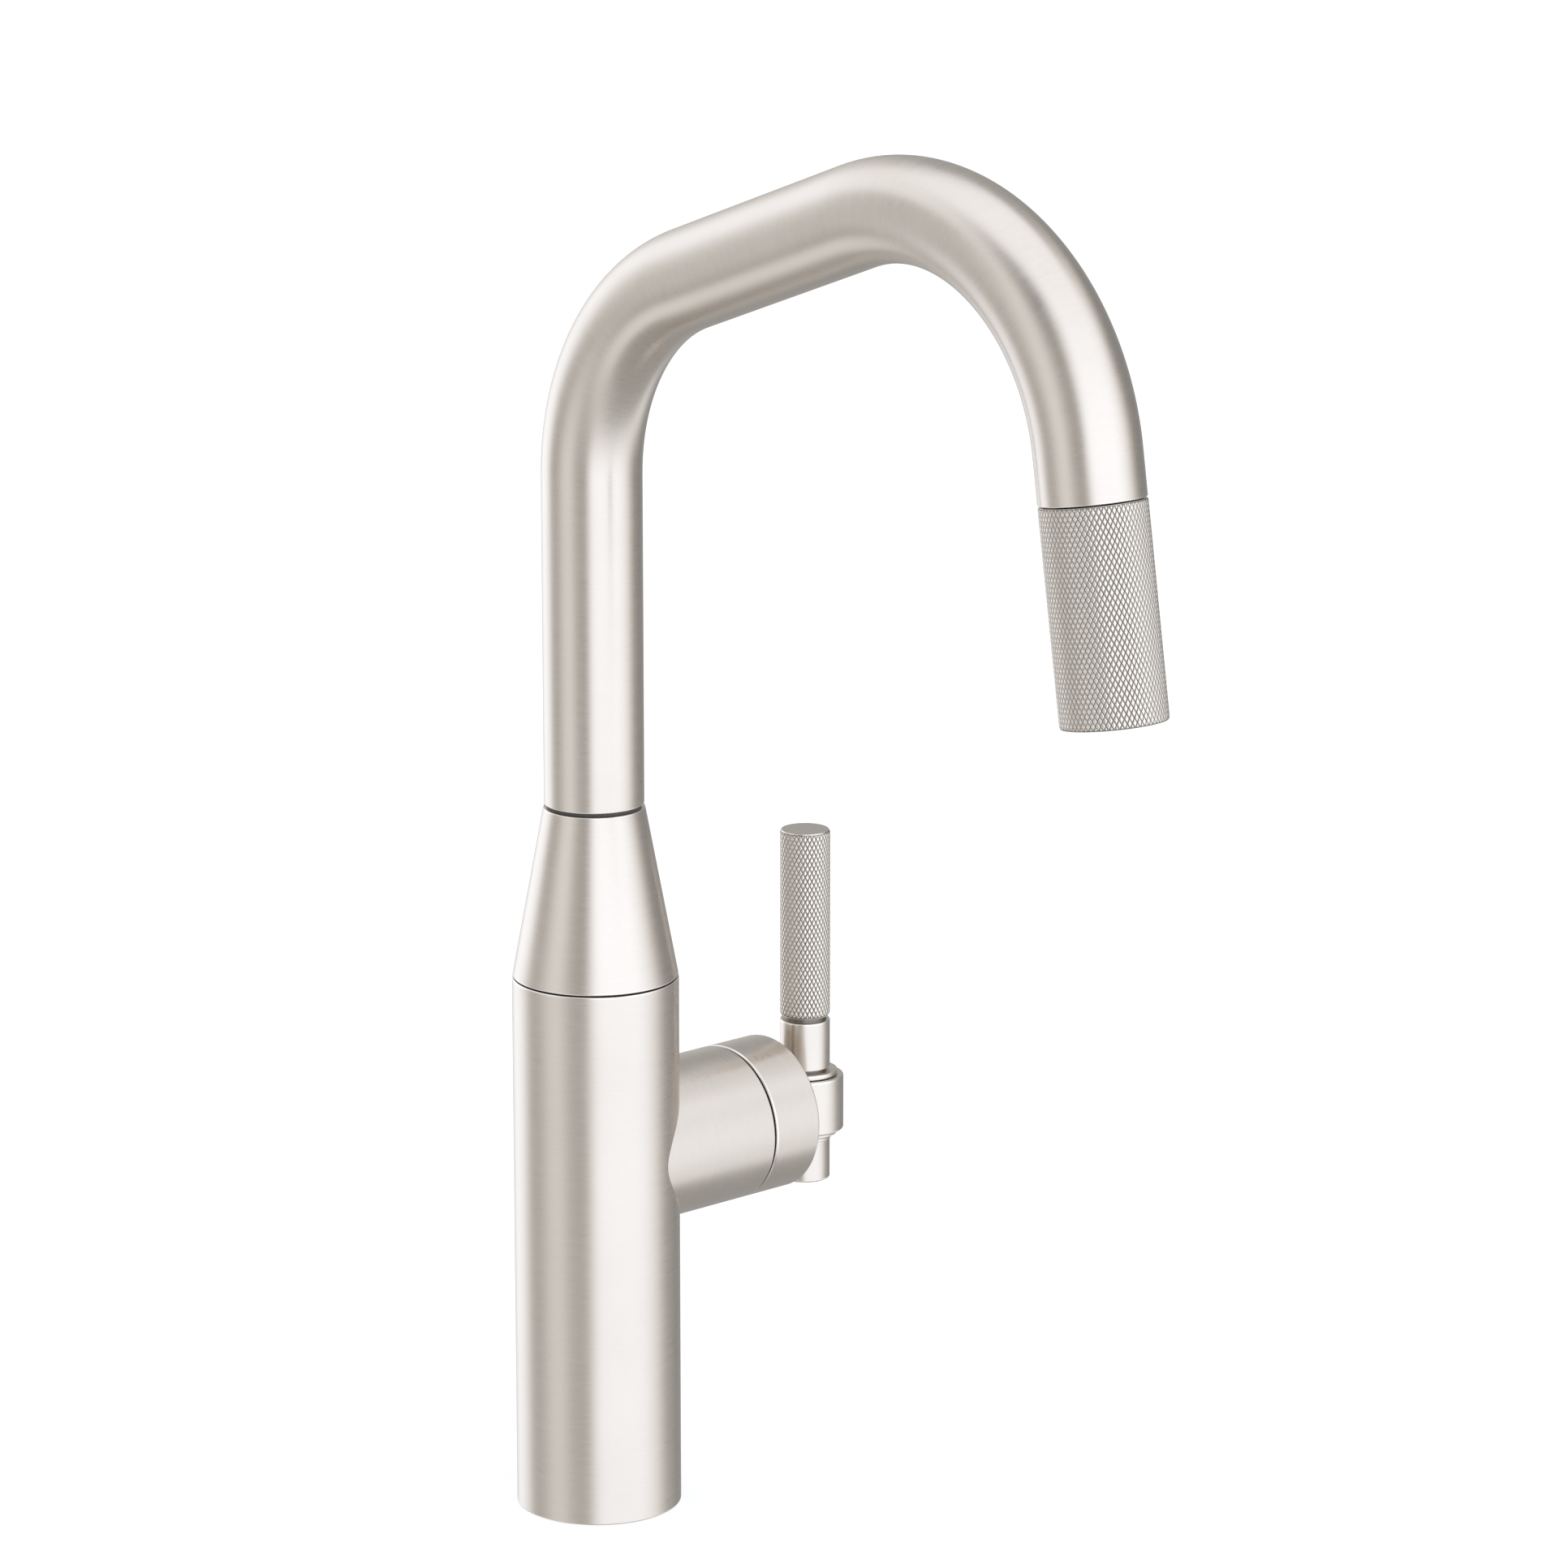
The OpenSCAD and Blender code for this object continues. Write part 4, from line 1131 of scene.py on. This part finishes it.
# fillets are listed from the foot of each ring upwards
rings = {
    "boreR": 7.02 * mm,
    "upper": (0.2 * mm, 0.55 * mm),
    "lower": (0.35 * mm, 0.2 * mm, 0.6 * mm, 0.1 * mm),
    "stepWidth": 0.4 * mm,
    "stepHeight": 1.75 * mm,
    "ferrule": (0.4 * mm, 0.5 * mm),
    "foot": (0.6 * mm, 0.15 * mm),
    "rodHoleR": 5.02 * mm,
    "rodHoleH": 2.8 * mm,
}


def makeLeverRings(size):
    boreR = size["boreR"]

    def plainRing(name, node, fillets):
        low, high = lowOf(node).z, highOf(node).z
        outer = highOf(node).x
        leverPiece(name, node, [(boreR, low, 0), (outer, low, fillets[0]), (outer, high, fillets[1]),
                                (boreR, high, 0)])

    plainRing("upperRing", "collar_upper_ring", size["upper"])
    low, high = lowOf("collar_lower_ring").z, highOf("collar_lower_ring").z
    outer = highOf("collar_lower_ring").x
    stepR = highOf("lever_foot").x + size["stepWidth"]
    stepZ = low + size["stepHeight"]
    edges = size["lower"]
    leverPiece("lowerRing", "collar_lower_ring", [
        (boreR, low, 0), (stepR, low, edges[0]), (stepR, stepZ, edges[1]), (outer, stepZ, edges[2]),
        (outer, high, edges[3]), (boreR, high, 0)])
    plainRing("leverFerrule", "lever_ferrule", size["ferrule"])
    low, high = lowOf("lever_foot").z, highOf("lever_foot").z
    outer = highOf("lever_ferrule").x  # the foot is as wide as the ferrule
    holeR, holeZ = size["rodHoleR"], low + size["rodHoleH"]
    edges = size["foot"]
    leverPiece("leverFoot", "lever_foot", [
        (0, low, 0), (outer, low, edges[0]), (outer, high, edges[1]), (holeR, high, 0), (holeR, holeZ, 0),
        (0, holeZ, 0)])


makeLeverRings(rings)

rod = {"thinR": 5 * mm, "coreR": 7 * mm, "reach": 3 * mm, "edge": 0.2 * mm}


def makeRod(size):
    low, high = lowOf("lever_rod").z, highOf("lever_rod").z
    foot = lowOf("collar_lower_ring").z
    shoulder = lowOf("lever_grip").z + size["reach"]
    thinR, coreR, edge = size["thinR"], size["coreR"], size["edge"]
    # the rod takes the dark nickel of painted shade, for the shade in the lever's grooves
    leverPiece("leverRod", "lever_rod", [
        (0, low, 0), (thinR, low, edge), (thinR, foot, 0), (coreR, foot, 0), (coreR, shoulder, 0),
        (thinR, shoulder, 0), (thinR, high, edge), (0, high, 0)], "paintedRodShade")


makeRod(rod)
print("cap, collar and lever made")


glide = {"inset": 1.0 * mm, "boreR": 14.3 * mm, "edge": 0.2 * mm}
finishes["glide"] = mouldedPlastic("glidePlastic", (0.085, 0.080, 0.075), 0.5)


def makeGlideRing(size):
    low, high = lowOf("glide_ring").z, highOf("glide_ring").z
    outer = tubeR - size["inset"]
    boreR, edge = size["boreR"], size["edge"]
    corners = [(boreR, low, 0), (outer, low, edge), (outer, high, edge), (boreR, high, 0)]
    turnedPiece("glideRing", corners, upright, "spout", ["glide_ring"], finishes["glide"])


makeGlideRing(glide)

# the thread's flanks turn once round the shank for each row
shank = {
    "depth": 0.75 * mm,
    "pitch": 1.6 * mm,
    "wall": 2.1 * mm,
    "top": 2 * mm,  # how far below the deck the thread ends
    "plainEnd": 1.2 * mm,
    "neckCut": 0.3 * mm,
    "endFillet": 0.4 * mm,
    "edge": 0.2 * mm,
    "stepsAround": 96,
    "stepsAlong": 6,  # mesh steps across one thread
}
finishes["brass"] = turnedMetal("brassTurned", (0.83, 0.62, 0.29), 0.28, (90, 90, 2400))


def makeShank(size):
    low, high = lowOf("mounting_shank").z, highOf("mounting_shank").z
    outer = highOf("mounting_shank").x
    root = outer - size["depth"]
    start, end = low + size["plainEnd"], -size["top"]
    rows = round((end - start) / size["pitch"])
    band = runTree(cutPattern(finishes["brass"]), {
        "Radius": outer, "Depth": size["depth"], "Start": start, "Length": end - start, "Around": 1.0,
        "Rows": float(rows), "Crossed": 0.0, "Crown": 1.0, "Run Out": 0.5,
        "Steps Around": size["stepsAround"], "Steps Along": rows * size["stepsAlong"]})
    bore = outer - size["wall"]
    neck = outer - size["neckCut"]
    edge = size["edge"]
    profile = rounded([
        (root, start, 0), (root, low, size["endFillet"]), (bore, low, edge), (bore, high, edge),
        (neck, high, edge), (neck, end + mm, 0), (root, end, 0)])
    liner = latheMesh("liner", profile, upright, size["stepsAround"], False)
    liner.materials.append(finishes["brass"])
    newPiece("shankThreaded", joinMeshes("shank", [band, liner]), "base", ["mounting_shank"], [])


makeShank(shank)

face = {
    "count": 20,
    "ringR": 9.75 * mm,
    "nozzleR": 0.9 * mm,
    "jetR": 0.4 * mm,
    "taper": 0.72,  # the tip's width against the nozzle's
    "proud": 0.6 * mm,
    "sunk": 0.3 * mm,
    "boreR": 7.05 * mm,
    "plateR": 12.45 * mm,
    "plateT": 2.4 * mm,
    "tipFillet": 0.15 * mm,
    "rootFillet": 0.1 * mm,
    "rimFillet": 0.3 * mm,
    "from": 63.4 * mm,  # how far the plate's outer side lies below the spout's mouth
}
finishes["silicone"] = mouldedPlastic("greySilicone", (0.16, 0.16, 0.165), 0.5, 1800.0)


def nozzleRing(material):
    # copies one nozzle round a circle and joins the copies to the plate
    tree, given = newTree("nozzleRing", Int=("Count",), Float=("Radius",), Object=("Nozzle", "Plate"))
    circle = tree.nodes.new("GeometryNodeMeshCircle")
    tree.links.new(given["Count"], circle.inputs["Vertices"])
    tree.links.new(given["Radius"], circle.inputs["Radius"])
    nozzle = tree.nodes.new("GeometryNodeObjectInfo")
    tree.links.new(given["Nozzle"], nozzle.inputs["Object"])
    plate = tree.nodes.new("GeometryNodeObjectInfo")
    tree.links.new(given["Plate"], plate.inputs["Object"])
    copies = tree.nodes.new("GeometryNodeInstanceOnPoints")
    tree.links.new(circle.outputs["Mesh"], copies.inputs["Points"])
    tree.links.new(nozzle.outputs["Geometry"], copies.inputs["Instance"])
    both = tree.nodes.new("GeometryNodeJoinGeometry")
    tree.links.new(copies.outputs[0], both.inputs[0])
    tree.links.new(plate.outputs["Geometry"], both.inputs[0])
    return endTree(tree, both.outputs[0], material)


def makeSprayFace(size):
    # height is measured against the flow, from the plate's outer side
    tip, back = -size["proud"], size["plateT"] - size["sunk"]
    jetR, nozzleR = size["jetR"], size["nozzleR"]
    nozzle = [
        (jetR, tip, 0), (nozzleR * size["taper"], tip, size["tipFillet"]), (nozzleR, 0, size["rootFillet"]),
        (nozzleR, back, 0), (jetR, back, 0)]
    boreR, plateR, plateT = size["boreR"], size["plateR"], size["plateT"]
    plate = [(boreR, 0, 0), (plateR, 0, size["rimFillet"]), (plateR, plateT, 0), (boreR, plateT, 0)]
    parts = {}
    for name, corners, around in (("Nozzle", nozzle, 24), ("Plate", plate, 120)):
        parts[name] = newObject(name, turnedMesh(name, corners, upright, around))
    inputs = {"Count": size["count"], "Radius": size["ringR"], **parts}
    mesh = runTree(nozzleRing(finishes["silicone"]), inputs)
    for part in parts.values():
        bpy.data.objects.remove(part)
    mesh.transform(atOutlet @ Matrix.Translation((0, 0, -size["from"])))
    newPiece("sprayFace", mesh, "spray_head", ["spray_face"], [])


makeSprayFace(face)
print("glide ring, threaded shank and spray face made")


# finishes of the pieces that keep their own shape

plain = {
    "brushed_nickel": turnedMetal("nickelPlain", nickel["colour"], 0.30, (60, 60, 3000)),
    "brass": finishes["brass"],
    "steel": turnedMetal("steelTurned", (0.62, 0.625, 0.63), 0.25, (120, 120, 2600)),
    "copper": turnedMetal("copperDrawn", (0.86, 0.45, 0.29), 0.24, (1800, 1800, 60)),
    "black_rubber": mouldedPlastic("blackRubber", (0.022, 0.022, 0.023), 0.62, 2600.0),
    "black_plastic": mouldedPlastic("blackPlastic", (0.035, 0.035, 0.037), 0.42),
    "white_plastic": mouldedPlastic("whitePlastic", (0.74, 0.73, 0.69), 0.42),
    "ceramic": mouldedPlastic("cartridgeCeramic", (0.86, 0.84, 0.79), 0.16, 2200.0),
    "hose_braid": finishes["braid"],
    "grey_silicone": finishes["silicone"],
    "blue_plastic": mouldedPlastic("bluePlastic", (0.05, 0.20, 0.48), 0.4),
    "green_plastic": mouldedPlastic("greenPlastic", (0.08, 0.34, 0.14), 0.4),
}
painted = set()
for node in nodes.values():
    if node.data.name in painted:
        continue
    painted.add(node.data.name)
    for spot in node.material_slots:
        spot.material = plain[spot.material.name.split(".")[0]]
print("finishes set on", len(nodes), "nodes")
